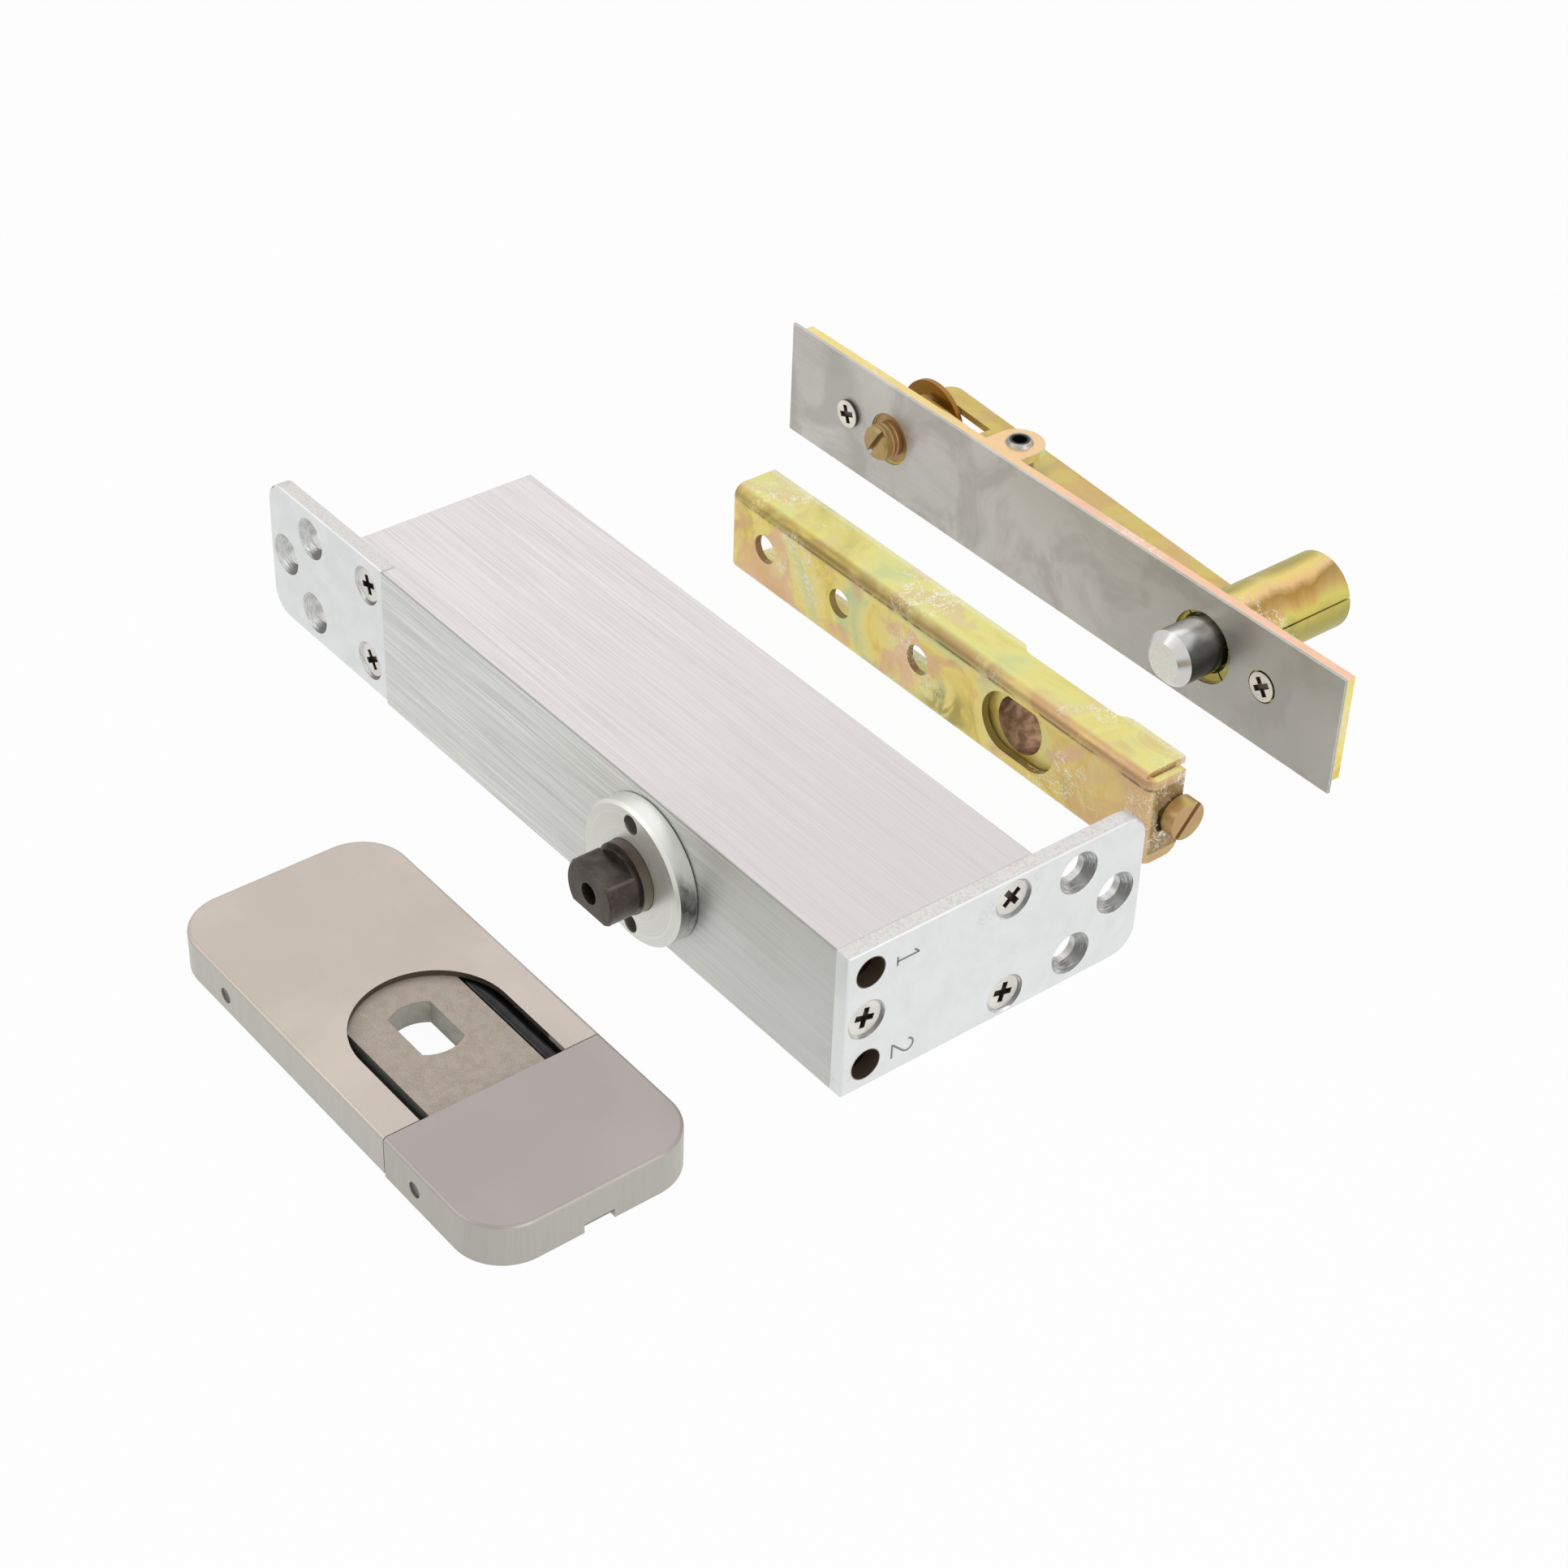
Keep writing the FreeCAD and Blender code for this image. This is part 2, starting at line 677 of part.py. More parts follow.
# Hydraulic body: the bored block
def make_hinge_body():
    body = new_body("hinge_body")
    block = sketch_on(body, "XY", "block")
    rectangle(block, BODY_LEFT, BODY_RIGHT, BODY_FRONT, BODY_BACK)
    pad(body, block, "body_height")
    chamfer(body, rim_edges(body, "X", BODY_RIGHT, "plate_corner"), "end_bevel")
    bore = sketch_on(body, "YZ", "main_bore", BORE_END)
    circle(bore, "0", BODY_MIDDLE, "bore_dia")
    pocket(body, bore, f"{BORE_END} - {BODY_LEFT} + cut_past")
    passage = sketch_on(body, "XZ", "cam_passage", BODY_FRONT)
    circle(passage, "0", BODY_MIDDLE, "cam_passage_dia")
    pocket(body, passage, "body_depth / 2")
    cap_seat = sketch_on(body, "XZ", "cap_seat", BODY_FRONT)
    circle(cap_seat, "0", BODY_MIDDLE, "cap_spigot_dia + 2 * seat_gap")
    pocket(body, cap_seat, f"{CAP_INNER} - {BODY_FRONT} + seat_gap")
    back_seat = sketch_on(body, "XZ", "back_seat")
    circle(back_seat, "0", BODY_MIDDLE, "back_bearing_dia + 2 * seat_gap")
    pocket(body, back_seat, BACK_SEAT)
    recess = sketch_on(body, "XZ", "strap_recess", BODY_FRONT)
    recess_end = f"{STRAP_RIGHT} + seat_gap"
    rectangle(recess, f"{BODY_LEFT} - cut_past", recess_end, "-cut_past", "body_height + cut_past")
    pocket(body, recess, "plate_thick")
    edge_threads = sketch_on(body, "YZ", "edge_threads", BODY_RIGHT)
    for across, up in EDGE_SCREWS:
        circle(edge_threads, across, up, "screw_dia + 2 * seat_gap")
    pocket(body, edge_threads, f"{SCREW_LENGTH} + {SCREW_SUNK} - plate_thick + free_gap")
    valve_bores = sketch_on(body, "YZ", "valve_bores", BODY_RIGHT)
    for across, up in VALVES:
        circle(valve_bores, across, up, "valve_bore_dia")
    pocket(body, valve_bores, "valve_bore_depth")
    strap_threads = sketch_on(body, "XZ", "strap_threads", BODY_FRONT)
    for across, up in STRAP_SCREWS:
        circle(strap_threads, across, up, "screw_dia + 2 * seat_gap")
    pocket(body, strap_threads, f"{SCREW_LENGTH} + {SCREW_SUNK} + free_gap")


# Hydraulic body: end plate and strap with their screws
def finish_plate(body, axis, face, corners, plain_end):
    """Round a plate's far corners and front rim, and countersink its holes."""
    fillet(body, straight_edges(body, axis, corners), "plate_corner")
    fillet(body, rim_edges(body, axis, face, "plate_corner", plain_end), "plate_round")
    chamfer(body, hole_edges(body, axis, face, "door_hole_dia"), "(door_sink_dia - door_hole_dia) / 2")
    chamfer(body, hole_edges(body, axis, face, "screw_hole_dia"), "(screw_sink_dia - screw_hole_dia) / 2")


def make_edge_plate():
    body = new_body("edge_plate")
    plate = sketch_on(body, "YZ", "plate", BODY_RIGHT)
    rectangle(plate, BODY_FRONT, EDGE_END, "0", "body_height")
    pad(body, plate, "plate_thick")
    holes = sketch_on(body, "YZ", "holes", EDGE_FACE)
    for across, up in EDGE_HOLES:
        circle(holes, across, up, "door_hole_dia")
    for across, up in EDGE_SCREWS:
        circle(holes, across, up, "screw_hole_dia")
    for across, up in VALVES:
        circle(holes, across, up, "valve_window_dia")
    pocket(body, holes, "plate_thick + cut_past")
    finish_plate(body, "X", EDGE_FACE, [(EDGE_END, "0"), (EDGE_END, "body_height")], None)
    for number, (across, up) in enumerate(EDGE_SCREWS, start=1):
        at = (f"{EDGE_FACE} - {SCREW_SUNK}", across, up)
        countersunk_screw(f"edge_screw_{number}", "X", at, EDGE_SCREW_ANGLES[number - 1])


def make_strap_plate():
    body = new_body("strap_plate")
    plate = sketch_on(body, "XZ", "plate", f"{BODY_FRONT} + plate_thick")
    rectangle(plate, STRAP_LEFT, STRAP_RIGHT, "strap_lift", STRAP_TOP)
    pad(body, plate, "plate_thick")
    holes = sketch_on(body, "XZ", "holes", BODY_FRONT)
    for across, up in STRAP_HOLES:
        circle(holes, across, up, "door_hole_dia")
    for across, up in STRAP_SCREWS:
        circle(holes, across, up, "screw_hole_dia")
    pocket(body, holes, "plate_thick + cut_past")
    far_corners = [(STRAP_LEFT, "strap_lift"), (STRAP_LEFT, STRAP_TOP)]
    finish_plate(body, "Y", BODY_FRONT, far_corners, ("X", STRAP_RIGHT))
    for number, (across, up) in enumerate(STRAP_SCREWS, start=1):
        at = (across, f"{BODY_FRONT} + {SCREW_SUNK}", up)
        countersunk_screw(f"strap_screw_{number}", "Y", at, STRAP_SCREW_ANGLES[number - 1])


# Hydraulic body: cap, bearings, seal and spindle
def make_bearing_cap():
    profile = [
        (CAP_FACE, "journal_dia / 2 + 2 * running_gap"),
        (CAP_FACE, "cap_flange_dia / 2 - cap_chamfer"),
        (f"{CAP_FACE} + cap_chamfer", "cap_flange_dia / 2"),
        (f"{BODY_FRONT} - cap_relief", "cap_flange_dia / 2"),
        (BODY_FRONT, "cap_flange_dia / 2 - cap_relief"),
        (BODY_FRONT, "cap_spigot_dia / 2"),
        (CAP_INNER, "cap_spigot_dia / 2"),
        (CAP_INNER, "cap_pocket_dia / 2"),
        (CAP_POCKET, "cap_pocket_dia / 2"),
        (CAP_POCKET, "journal_dia / 2 + 2 * running_gap"),
    ]
    body = turned("bearing_cap", "Y", profile, SPINDLE_AXIS)
    holes = sketch_on(body, "XZ", "spanner_holes", CAP_FACE)
    for side in ("", "-"):
        circle(holes, "0", f"{side}spanner_hole_spread / 2", "spanner_hole_dia")
    pocket(body, holes, "spanner_hole_depth")


def make_bearings():
    pocket_fit = "cap_pocket_dia - 2 * seat_gap"
    shaft_fit = "journal_dia + 2 * running_gap"
    seat_fit = "cam_seat_dia + 2 * running_gap"
    back_start = "bore_dia / 2 + bearing_clear"
    seal_end = f"{CAP_POCKET} + seal_length"
    ring("shaft_seal", "Y", CAP_POCKET, seal_end, pocket_fit, shaft_fit, SPINDLE_AXIS)
    front_start = f"{seal_end} + seal_clear"
    ring("front_bearing", "Y", front_start, CAP_INNER, pocket_fit, shaft_fit, SPINDLE_AXIS)
    ring("back_bearing", "Y", back_start, BACK_SEAT, "back_bearing_dia", seat_fit, SPINDLE_AXIS)


def make_spindle():
    flats_end = f"{SPINDLE_END} + drive_length"
    collar = f"{SPINDLE_END} + drive_length + undercut_length"
    tail = f"{BACK_SEAT} - free_gap"
    profile = [
        (SPINDLE_END, "0"),
        (SPINDLE_END, "drive_dia / 2 - drive_chamfer"),
        (f"{SPINDLE_END} + drive_chamfer", "drive_dia / 2"),
        (flats_end, "drive_dia / 2"),
        (flats_end, "undercut_dia / 2"),
        (collar, "undercut_dia / 2"),
        (collar, "journal_dia / 2"),
        (CAP_INNER, "journal_dia / 2"),
        (CAP_INNER, "cam_seat_dia / 2"),
        (tail, "cam_seat_dia / 2"),
        (tail, "0"),
    ]
    body = turned("spindle", "Y", profile, SPINDLE_AXIS)
    flats = sketch_on(body, "XZ", "flats", SPINDLE_END)
    rectangle(flats, "-drive_dia", "drive_dia", "drive_flats / 2", "drive_dia")
    rectangle(flats, "-drive_dia", "drive_dia", "-drive_dia", "-drive_flats / 2")
    pocket(body, flats, "drive_length")
    centre_hole = sketch_on(body, "XZ", "centre_hole", SPINDLE_END)
    circle(centre_hole, "0", "0", "centre_hole_dia")
    pocket(body, centre_hole, "centre_hole_depth")


def make_cam():
    """Heart cam whose lift grows evenly with the angle on both sides of the closed position."""
    roller = value("roller_dia / 2 + running_gap")
    first = value("cam_valley") + roller
    rate = value("piston_stroke") / math.radians(value("opening_angle"))
    last_angle = math.radians(value("opening_angle + cam_spare_angle"))
    depth = value("cam_width")

    def flank(angle, side):
        """Point of the cam's flank under a roller whose centre is on the even spiral."""
        radius = first + rate * angle
        centre = FreeCAD.Vector(-radius * math.cos(angle), 0, side * radius * math.sin(angle))
        slope = math.atan2(rate, radius)
        inward = FreeCAD.Vector(math.cos(angle - slope), 0, -side * math.sin(angle - slope))
        return centre + inward * roller

    steps = 12
    angles = [last_angle * step / steps for step in range(steps + 1)]
    upper = Part.BSplineCurve()
    upper.interpolate([flank(angle, 1) for angle in angles])
    lower = Part.BSplineCurve()
    lower.interpolate([flank(angle, -1) for angle in reversed(angles)])
    valley = Part.Arc(flank(0, -1), FreeCAD.Vector(-first + roller, 0, 0), flank(0, 1))
    tallest = FreeCAD.Vector(value("cam_valley + piston_stroke"), 0, 0)
    crown = Part.Arc(flank(last_angle, 1), tallest, flank(last_angle, -1))
    rim = Part.Wire([edge.toShape() for edge in (valley, upper, crown, lower)])
    front = FreeCAD.Vector(0, -depth / 2, 0)
    along = FreeCAD.Vector(0, 1, 0)
    solid = Part.Face(rim).extrude(along * depth)
    solid.translate(front)
    bore = Part.makeCylinder(value("cam_seat_dia / 2 + seat_gap"), depth, front, along)
    cam = doc.addObject("Part::Feature", "cam")
    cam.Label = "cam"
    cam.Shape = solid.cut(bore)
    place(cam, SPINDLE_AXIS)
    pieces.append(cam)


# Hydraulic body: piston, follower, check valve, spring and plug
def make_piston():
    boss_end = "-(piston_left + piston_boss_length)"
    profile = [
        (boss_end, "0"),
        (boss_end, "piston_boss_dia / 2"),
        ("-piston_left", "piston_boss_dia / 2"),
        ("-piston_left", PISTON_RADIUS),
        (RING_LEFT, PISTON_RADIUS),
        (RING_LEFT, "ring_groove_dia / 2"),
        (RING_RIGHT, "ring_groove_dia / 2"),
        (RING_RIGHT, PISTON_RADIUS),
        ("piston_right", PISTON_RADIUS),
        ("piston_right", "0"),
    ]
    body = turned("piston", "X", profile, SPINDLE_AXIS)
    window = sketch_on(body, "XY", "cam_window", "bore_dia / 2")
    rectangle(window, f"-{WINDOW_LEFT}", WINDOW_RIGHT, "-window_width / 2", "window_width / 2")
    pocket(body, window, "bore_dia")
    shaft_slot = sketch_on(body, "XZ", "shaft_slot", "-bore_dia / 2")
    long_slot(shaft_slot, "0", "piston_stroke", "0", "cam_seat_dia + 2 * free_gap")
    pocket(body, shaft_slot, "bore_dia")
    pin_hole = sketch_on(body, "XZ", "pin_hole", "-bore_dia / 2")
    circle(pin_hole, f"-{ROLLER_PLACE}", "0", "roller_pin_dia + 2 * seat_gap")
    pocket(body, pin_hole, "bore_dia")
    check_bore = sketch_on(body, "YZ", "check_bore", "piston_right")
    circle(check_bore, "0", "0", "check_ball_dia + 2 * seat_gap")
    pocket(body, check_bore, "check_bore_depth")
    check_seat = sketch_on(body, "YZ", "check_seat", "piston_right")
    circle(check_seat, "0", "0", "check_seat_dia")
    pocket(body, check_seat, f"piston_right - {WINDOW_RIGHT} + free_gap")


def make_follower():
    roller_axis = (f"-{ROLLER_PLACE}", "0", BODY_MIDDLE)
    half = "roller_width / 2"
    ring("cam_roller", "Y", f"-{half}", half, "roller_dia", "roller_pin_dia + 2 * running_gap", roller_axis)
    end = "roller_pin_length / 2"
    radius = "roller_pin_dia / 2"
    turned("roller_pin", "Y", [(f"-{end}", "0"), (f"-{end}", radius), (end, radius), (end, "0")], roller_axis)
    ring_fit = "ring_groove_dia + 2 * seat_gap"
    ring_start = f"{RING_LEFT} + seat_gap"
    ring_end = f"{RING_RIGHT} - seat_gap"
    ring("piston_seal", "X", ring_start, ring_end, f"2 * {PISTON_RADIUS}", ring_fit, SPINDLE_AXIS)
    ball = doc.addObject("Part::Sphere", "check_ball")
    ball.Label = "check_ball"
    ball.setExpression("Radius", formula("check_ball_dia / 2"))
    seated = "sqrt(check_ball_dia ^ 2 - check_seat_dia ^ 2) / 2"
    place(ball, (f"piston_right - check_bore_depth + {seated}", "0", BODY_MIDDLE))
    pieces.append(ball)


def make_spring():
    coil = doc.addObject("Part::Helix", "coil")
    length = f"(-piston_left - {PLUG_INNER} - spring_wire - 2 * seat_gap)"
    coil.setExpression("Height", formula(length))
    coil.setExpression("Pitch", formula(f"{length} / spring_turns"))
    coil.setExpression("Radius", formula("spring_dia / 2"))
    section = doc.addObject("Part::Circle", "wire_section")
    section.setExpression("Radius", formula("spring_wire / 2"))
    section.setExpression("Placement.Base.x", formula("spring_dia / 2"))
    section.Placement.Rotation = FreeCAD.Rotation(FreeCAD.Vector(1, 0, 0), 90)
    spring = doc.addObject("Part::Sweep", "main_spring")
    spring.Label = "main_spring"
    spring.Sections = [section]
    spring.Spine = (coil, ["Edge1"])
    spring.Solid = True
    spring.Frenet = True
    spring.Placement.Rotation = FreeCAD.Rotation(FreeCAD.Vector(0, 1, 0), 90)
    place(spring, (f"{PLUG_INNER} + spring_wire / 2 + seat_gap", "0", BODY_MIDDLE))
    pieces.append(spring)


def make_plug():
    radius = "bore_dia / 2 - seat_gap"
    groove_end = f"{PLUG_RING} + plug_groove_width"
    profile = [
        (BODY_LEFT, "0"),
        (BODY_LEFT, radius),
        (PLUG_RING, radius),
        (PLUG_RING, "plug_groove_dia / 2"),
        (groove_end, "plug_groove_dia / 2"),
        (groove_end, radius),
        (PLUG_INNER, radius),
        (PLUG_INNER, "0"),
    ]
    body = turned("end_plug", "X", profile, SPINDLE_AXIS)
    socket = sketch_on(body, "YZ", "hex_socket", BODY_LEFT)
    corner = "plug_hex / 2 / cos(30)"
    outline(socket, [(f"{corner} * cos({60 * turn})", f"{corner} * sin({60 * turn})") for turn in range(6)])
    pocket(body, socket, "plug_hex_depth", backwards=True)
    start = f"{PLUG_RING} + seat_gap"
    end = f"{PLUG_RING} + plug_groove_width - seat_gap"
    ring("plug_seal", "X", start, end, f"2 * ({radius})", "plug_groove_dia + 2 * seat_gap", SPINDLE_AXIS)


def make_valves():
    radius = "valve_bore_dia / 2 - running_gap"
    groove = f"{VALVE_HEAD} - valve_groove_place"
    groove_end = f"{VALVE_HEAD} - valve_groove_place - valve_groove_width"
    shoulder = f"{VALVE_HEAD} - valve_length + valve_tip_length"
    tip = f"{VALVE_HEAD} - valve_length"
    profile = [
        (VALVE_HEAD, "0"),
        (VALVE_HEAD, radius),
        (groove, radius),
        (groove, "valve_groove_dia / 2"),
        (groove_end, "valve_groove_dia / 2"),
        (groove_end, radius),
        (shoulder, radius),
        (tip, "valve_tip_dia / 2"),
        (tip, "0"),
    ]
    for number, (across, up) in enumerate(VALVES, start=1):
        axis = ("0", across, up)
        body = turned(f"valve_screw_{number}", "X", profile, axis)
        slot = sketch_on(body, "YZ", "driver_slot", VALVE_HEAD)
        rectangle(slot, "-valve_slot_width / 2", "valve_slot_width / 2", "-valve_bore_dia", "valve_bore_dia")
        pocket(body, slot, "valve_slot_depth")
        start = f"{groove_end} + seat_gap"
        end = f"{groove} - seat_gap"
        fit = "valve_groove_dia + 2 * seat_gap"
        ring(f"valve_seal_{number}", "X", start, end, f"2 * ({radius})", fit, axis)


# Floor plate
FLOOR = ("0", "floor_row", "0")
SOCKET_LINE = "floor_row + socket_offset"
GRUBS = ["(-left_lug_reach - left_grub_inset)", "(right_lug_reach + right_grub_inset)"]


def make_cover(label, seam, outer, low):
    """A pressed cover, open at the seam and below, from the seam to its round outer end."""
    body = new_body(label, FLOOR)
    toward = 1 if value(outer) > value(seam) else -1
    past = f"{seam} - {toward} * cut_past"
    inner = f"{outer} - {toward} * cover_sheet"
    skin = sketch_on(body, "XY", "skin", low)
    rectangle(skin, *((seam, outer) if toward > 0 else (outer, seam)), f"-{FLOOR_HALF}", FLOOR_HALF)
    pad(body, skin, f"floor_height - ({low})")
    fillet(body, straight_edges(body, "Z", [(outer, f"-{FLOOR_HALF}"), (outer, FLOOR_HALF)]), "floor_corner")
    fillet(body, rim_edges(body, "Z", "floor_height", "floor_corner", ("X", seam)), "cover_round")
    hollow = sketch_on(body, "XY", "hollow", low)
    wall = f"({FLOOR_HALF} - cover_sheet)"
    bend = f"({outer} - {toward} * floor_corner)"
    turn = f"({FLOOR_HALF} - floor_corner)"
    outline(hollow, [
        (past, f"-{wall}"),
        (bend, f"-{wall}", (bend, f"-{turn}", toward)),
        (inner, f"-{turn}"),
        (inner, turn, (bend, turn, toward)),
        (bend, wall),
        (past, wall),
    ])
    pocket(body, hollow, f"floor_height - cover_sheet - ({low})", backwards=True)
    return body


def drill_grub_hole(body, across):
    """Drill one grub screw's hole through both side walls of a cover."""
    holes = sketch_on(body, "XZ", "grub_holes", f"-{FLOOR_HALF} - cut_past")
    circle(holes, across, "grub_height", "grub_dia + 2 * running_gap")
    pocket(body, holes, "floor_width + 2 * cut_past")


def make_covers():
    main = make_cover("main_cover", "(floor_seam - seam_gap / 2)", "(-floor_left)", "main_cover_lift")
    arch = sketch_on(main, "XY", "arch", "floor_height")
    low = "-arch_dia / 2"
    high = "arch_dia / 2"
    past = "floor_seam + cut_past"
    crown = ("arch_place", "0", 1)
    outline(arch, [(past, low), (past, high), ("arch_place", high, crown), ("arch_place", low)])
    pocket(main, arch, "cover_sheet + cut_past")
    drill_grub_hole(main, GRUBS[0])
    end = make_cover("end_cover", "(floor_seam + seam_gap / 2)", "floor_right", "0")
    notch = sketch_on(end, "YZ", "notch", "floor_right")
    rectangle(notch, "-notch_width / 2", "notch_width / 2", "-cut_past", "notch_height")
    pocket(end, notch, "cover_sheet + cut_past")
    drill_grub_hole(end, GRUBS[1])


def make_base_plate():
    body = new_body("base_plate", FLOOR)
    left = "(-floor_left + cover_sheet + base_gap)"
    right = "(floor_right - cover_sheet - base_gap)"
    left_lug = "(-left_lug_reach - lug_length)"
    right_lug = "(right_lug_reach + lug_length)"
    plate = sketch_on(body, "XY", "plate")
    rectangle(plate, left, right, f"-{BASE_HALF}", BASE_HALF)
    pad(body, plate, "base_thick")
    corners = [(end, side) for end in (left, right) for side in (f"-{BASE_HALF}", BASE_HALF)]
    fillet(body, straight_edges(body, "Z", corners), "floor_corner - cover_sheet - base_gap")
    window = sketch_on(body, "XY", "socket_window", "base_thick")
    ends = "(base_window_length - base_window_width) / 2"
    long_slot(window, f"slot_place - {ends}", f"slot_place + {ends}", "socket_offset", "base_window_width")
    pocket(body, window, "base_thick + cut_past")
    holes = sketch_on(body, "XY", "floor_holes", "base_thick")
    for across in ("-left_floor_hole", "right_floor_hole"):
        for side in ("-", ""):
            circle(holes, across, f"{side}floor_hole_spread / 2", "floor_hole_dia")
    pocket(body, holes, "base_thick + cut_past")
    sink = "(floor_sink_dia - floor_hole_dia) / 2"
    chamfer(body, hole_edges(body, "Z", "base_thick", "floor_hole_dia"), sink)
    lugs = sketch_on(body, "XY", "lugs", "base_thick")
    rectangle(lugs, left_lug, "-left_lug_reach", f"-{BASE_HALF}", BASE_HALF)
    rectangle(lugs, "right_lug_reach", right_lug, f"-{BASE_HALF}", BASE_HALF)
    pad(body, lugs, "floor_height - cover_sheet - base_thick")
    rod_holes = sketch_on(body, "YZ", "rod_holes", "right_lug_reach + rod_end")
    for side in ("-", ""):
        circle(rod_holes, f"socket_offset {side or '+'} {ROD_SPREAD}", "rod_height", "rod_dia + 2 * seat_gap")
    pocket(body, rod_holes, "right_lug_reach + left_lug_reach + 2 * rod_end")
    for side, backwards in (("-", False), ("", True)):
        threads = sketch_on(body, "XZ", "grub_threads", f"{side}{BASE_HALF}")
        for across in GRUBS:
            circle(threads, across, "grub_height", "grub_dia + 2 * seat_gap")
        pocket(body, threads, "grub_length", backwards)


def make_socket_block():
    body = new_body("socket_block", ("0", SOCKET_LINE, "0"))
    block = sketch_on(body, "XY", "block", "base_thick + block_float")
    rectangle(block, "-block_left", "block_right", "-block_width / 2", "block_width / 2")
    pad(body, block, "block_top - base_thick - block_float")
    slot = sketch_on(body, "XY", "double_d_slot", "block_top")
    radius = "(drive_dia / 2 + drive_play)"
    flat = "(drive_flats / 2 + drive_play)"
    reach = f"sqrt({radius} ^ 2 - {flat} ^ 2)"
    outline(slot, [
        (f"slot_place - {reach}", f"-{flat}"),
        (f"slot_place + {reach}", f"-{flat}", ("slot_place", "0", 1)),
        (f"slot_place + {reach}", flat),
        (f"slot_place - {reach}", flat, ("slot_place", "0", 1)),
    ])
    pocket(body, slot, "block_top")
    notch = sketch_on(body, "XY", "end_notch", "block_top")
    start = "block_right - block_notch_length"
    rectangle(notch, start, "block_right + cut_past", "-block_notch_width / 2", "block_notch_width / 2")
    pocket(body, notch, "block_notch_depth")


def make_floor_fixings():
    left = "-left_lug_reach - rod_end + seat_gap"
    right = "right_lug_reach + rod_end - seat_gap"
    bar = [(left, "0"), (left, "rod_dia / 2"), (right, "rod_dia / 2"), (right, "0")]
    for number, side in enumerate("-+", start=1):
        turned(f"guide_rod_{number}", "X", bar, ("0", f"{SOCKET_LINE} {side} {ROD_SPREAD}", "rod_height"))
    spots = [(across, side) for side in (-1, 1) for across in GRUBS]
    radius = "grub_dia / 2"
    for number, (across, side) in enumerate(spots, start=1):
        tip = f"{-side} * grub_length"
        head = f"floor_row + {side} * ({FLOOR_HALF} - grub_sunk)"
        profile = [("0", "0"), ("0", radius), (tip, radius), (tip, "0")]
        turned(f"cover_screw_{number}", "Y", profile, (across, head, "grub_height"))


# Channel with the socket for the pin
CHANNEL = ("0", "channel_row", "0")


def make_channel():
    body = new_body("channel", CHANNEL)
    inner = "(channel_height - channel_sheet)"
    upper = "(channel_height - channel_bend)"
    section = sketch_on(body, "YZ", "section", "-channel_left")
    outline(section, [
        ("channel_bend", "0"),
        ("channel_depth", "0"),
        ("channel_depth", "channel_sheet"),
        ("channel_bend", "channel_sheet", ("channel_bend", "channel_bend", -1)),
        ("channel_sheet", "channel_bend"),
        ("channel_sheet", upper, ("channel_bend", upper, -1)),
        ("channel_bend", inner),
        ("channel_depth", inner),
        ("channel_depth", "channel_height"),
        ("channel_bend", "channel_height", ("channel_bend", upper, 1)),
        ("0", upper),
        ("0", "channel_bend", ("channel_bend", "channel_bend", 1)),
    ])
    pad(body, section, f"channel_left + {FLANGE_END}")
    tab_inner = "channel_right - channel_sheet"
    bend = "(channel_sheet + tab_slit)"
    tab = sketch_on(body, "XY", "tab", "tab_drop")
    outline(tab, [
        (FLANGE_END, "0", (FLANGE_END, bend, 1)),
        ("channel_right", bend),
        ("channel_right", "tab_depth"),
        (tab_inner, "tab_depth"),
        (tab_inner, bend, (FLANGE_END, bend, -1)),
        (FLANGE_END, "channel_sheet"),
    ])
    pad(body, tab, "channel_height - 2 * tab_drop")
    fillet(body, straight_edges(body, "X", [("tab_depth", "tab_drop")]), "tab_corner")
    notch = sketch_on(body, "YZ", "screw_notch", "channel_right")
    low = f"({CHANNEL_MIDDLE} - adjust_dia / 2 - free_gap)"
    high = f"({CHANNEL_MIDDLE} + adjust_dia / 2 + free_gap)"
    rectangle(notch, "notch_start", "tab_depth + cut_past", low, high)
    pocket(body, notch, "channel_sheet + free_gap")
    fillet(body, straight_edges(body, "X", [("notch_start", low), ("notch_start", high)]), "notch_corner")
    holes = sketch_on(body, "XZ", "holes")
    for number in range(3):
        across = f"-channel_left + frame_hole_first + {number} * frame_hole_pitch"
        circle(holes, across, CHANNEL_MIDDLE, "frame_hole_dia")
    half = "(window_length - window_height) / 2"
    long_slot(holes, f"window_place - {half}", f"window_place + {half}", CHANNEL_MIDDLE, "window_height")
    pocket(body, holes, "channel_sheet + free_gap")
    ledge = sketch_on(body, "XY", "ledge", "channel_height")
    ease = "((ledge_run ^ 2 + ledge_depth ^ 2) / (4 * ledge_depth))"
    past = "channel_depth + cut_past"
    middle = "channel_depth - ledge_depth / 2"
    outer = f"channel_depth - {ease}"
    inward = f"{LEDGE} + {ease}"
    left = "(-ledge_left + ledge_run)"
    right = "(ledge_right - ledge_run)"
    outline(ledge, [
        ("-ledge_left", past),
        ("-ledge_left", "channel_depth", ("-ledge_left", outer, -1)),
        ("-ledge_left + ledge_run / 2", middle, (left, inward, 1)),
        (left, LEDGE),
        (right, LEDGE, (right, inward, 1)),
        ("ledge_right - ledge_run / 2", middle, ("ledge_right", outer, -1)),
        ("ledge_right", "channel_depth"),
        ("ledge_right", past),
    ])
    pocket(body, ledge, "channel_height + cut_past")


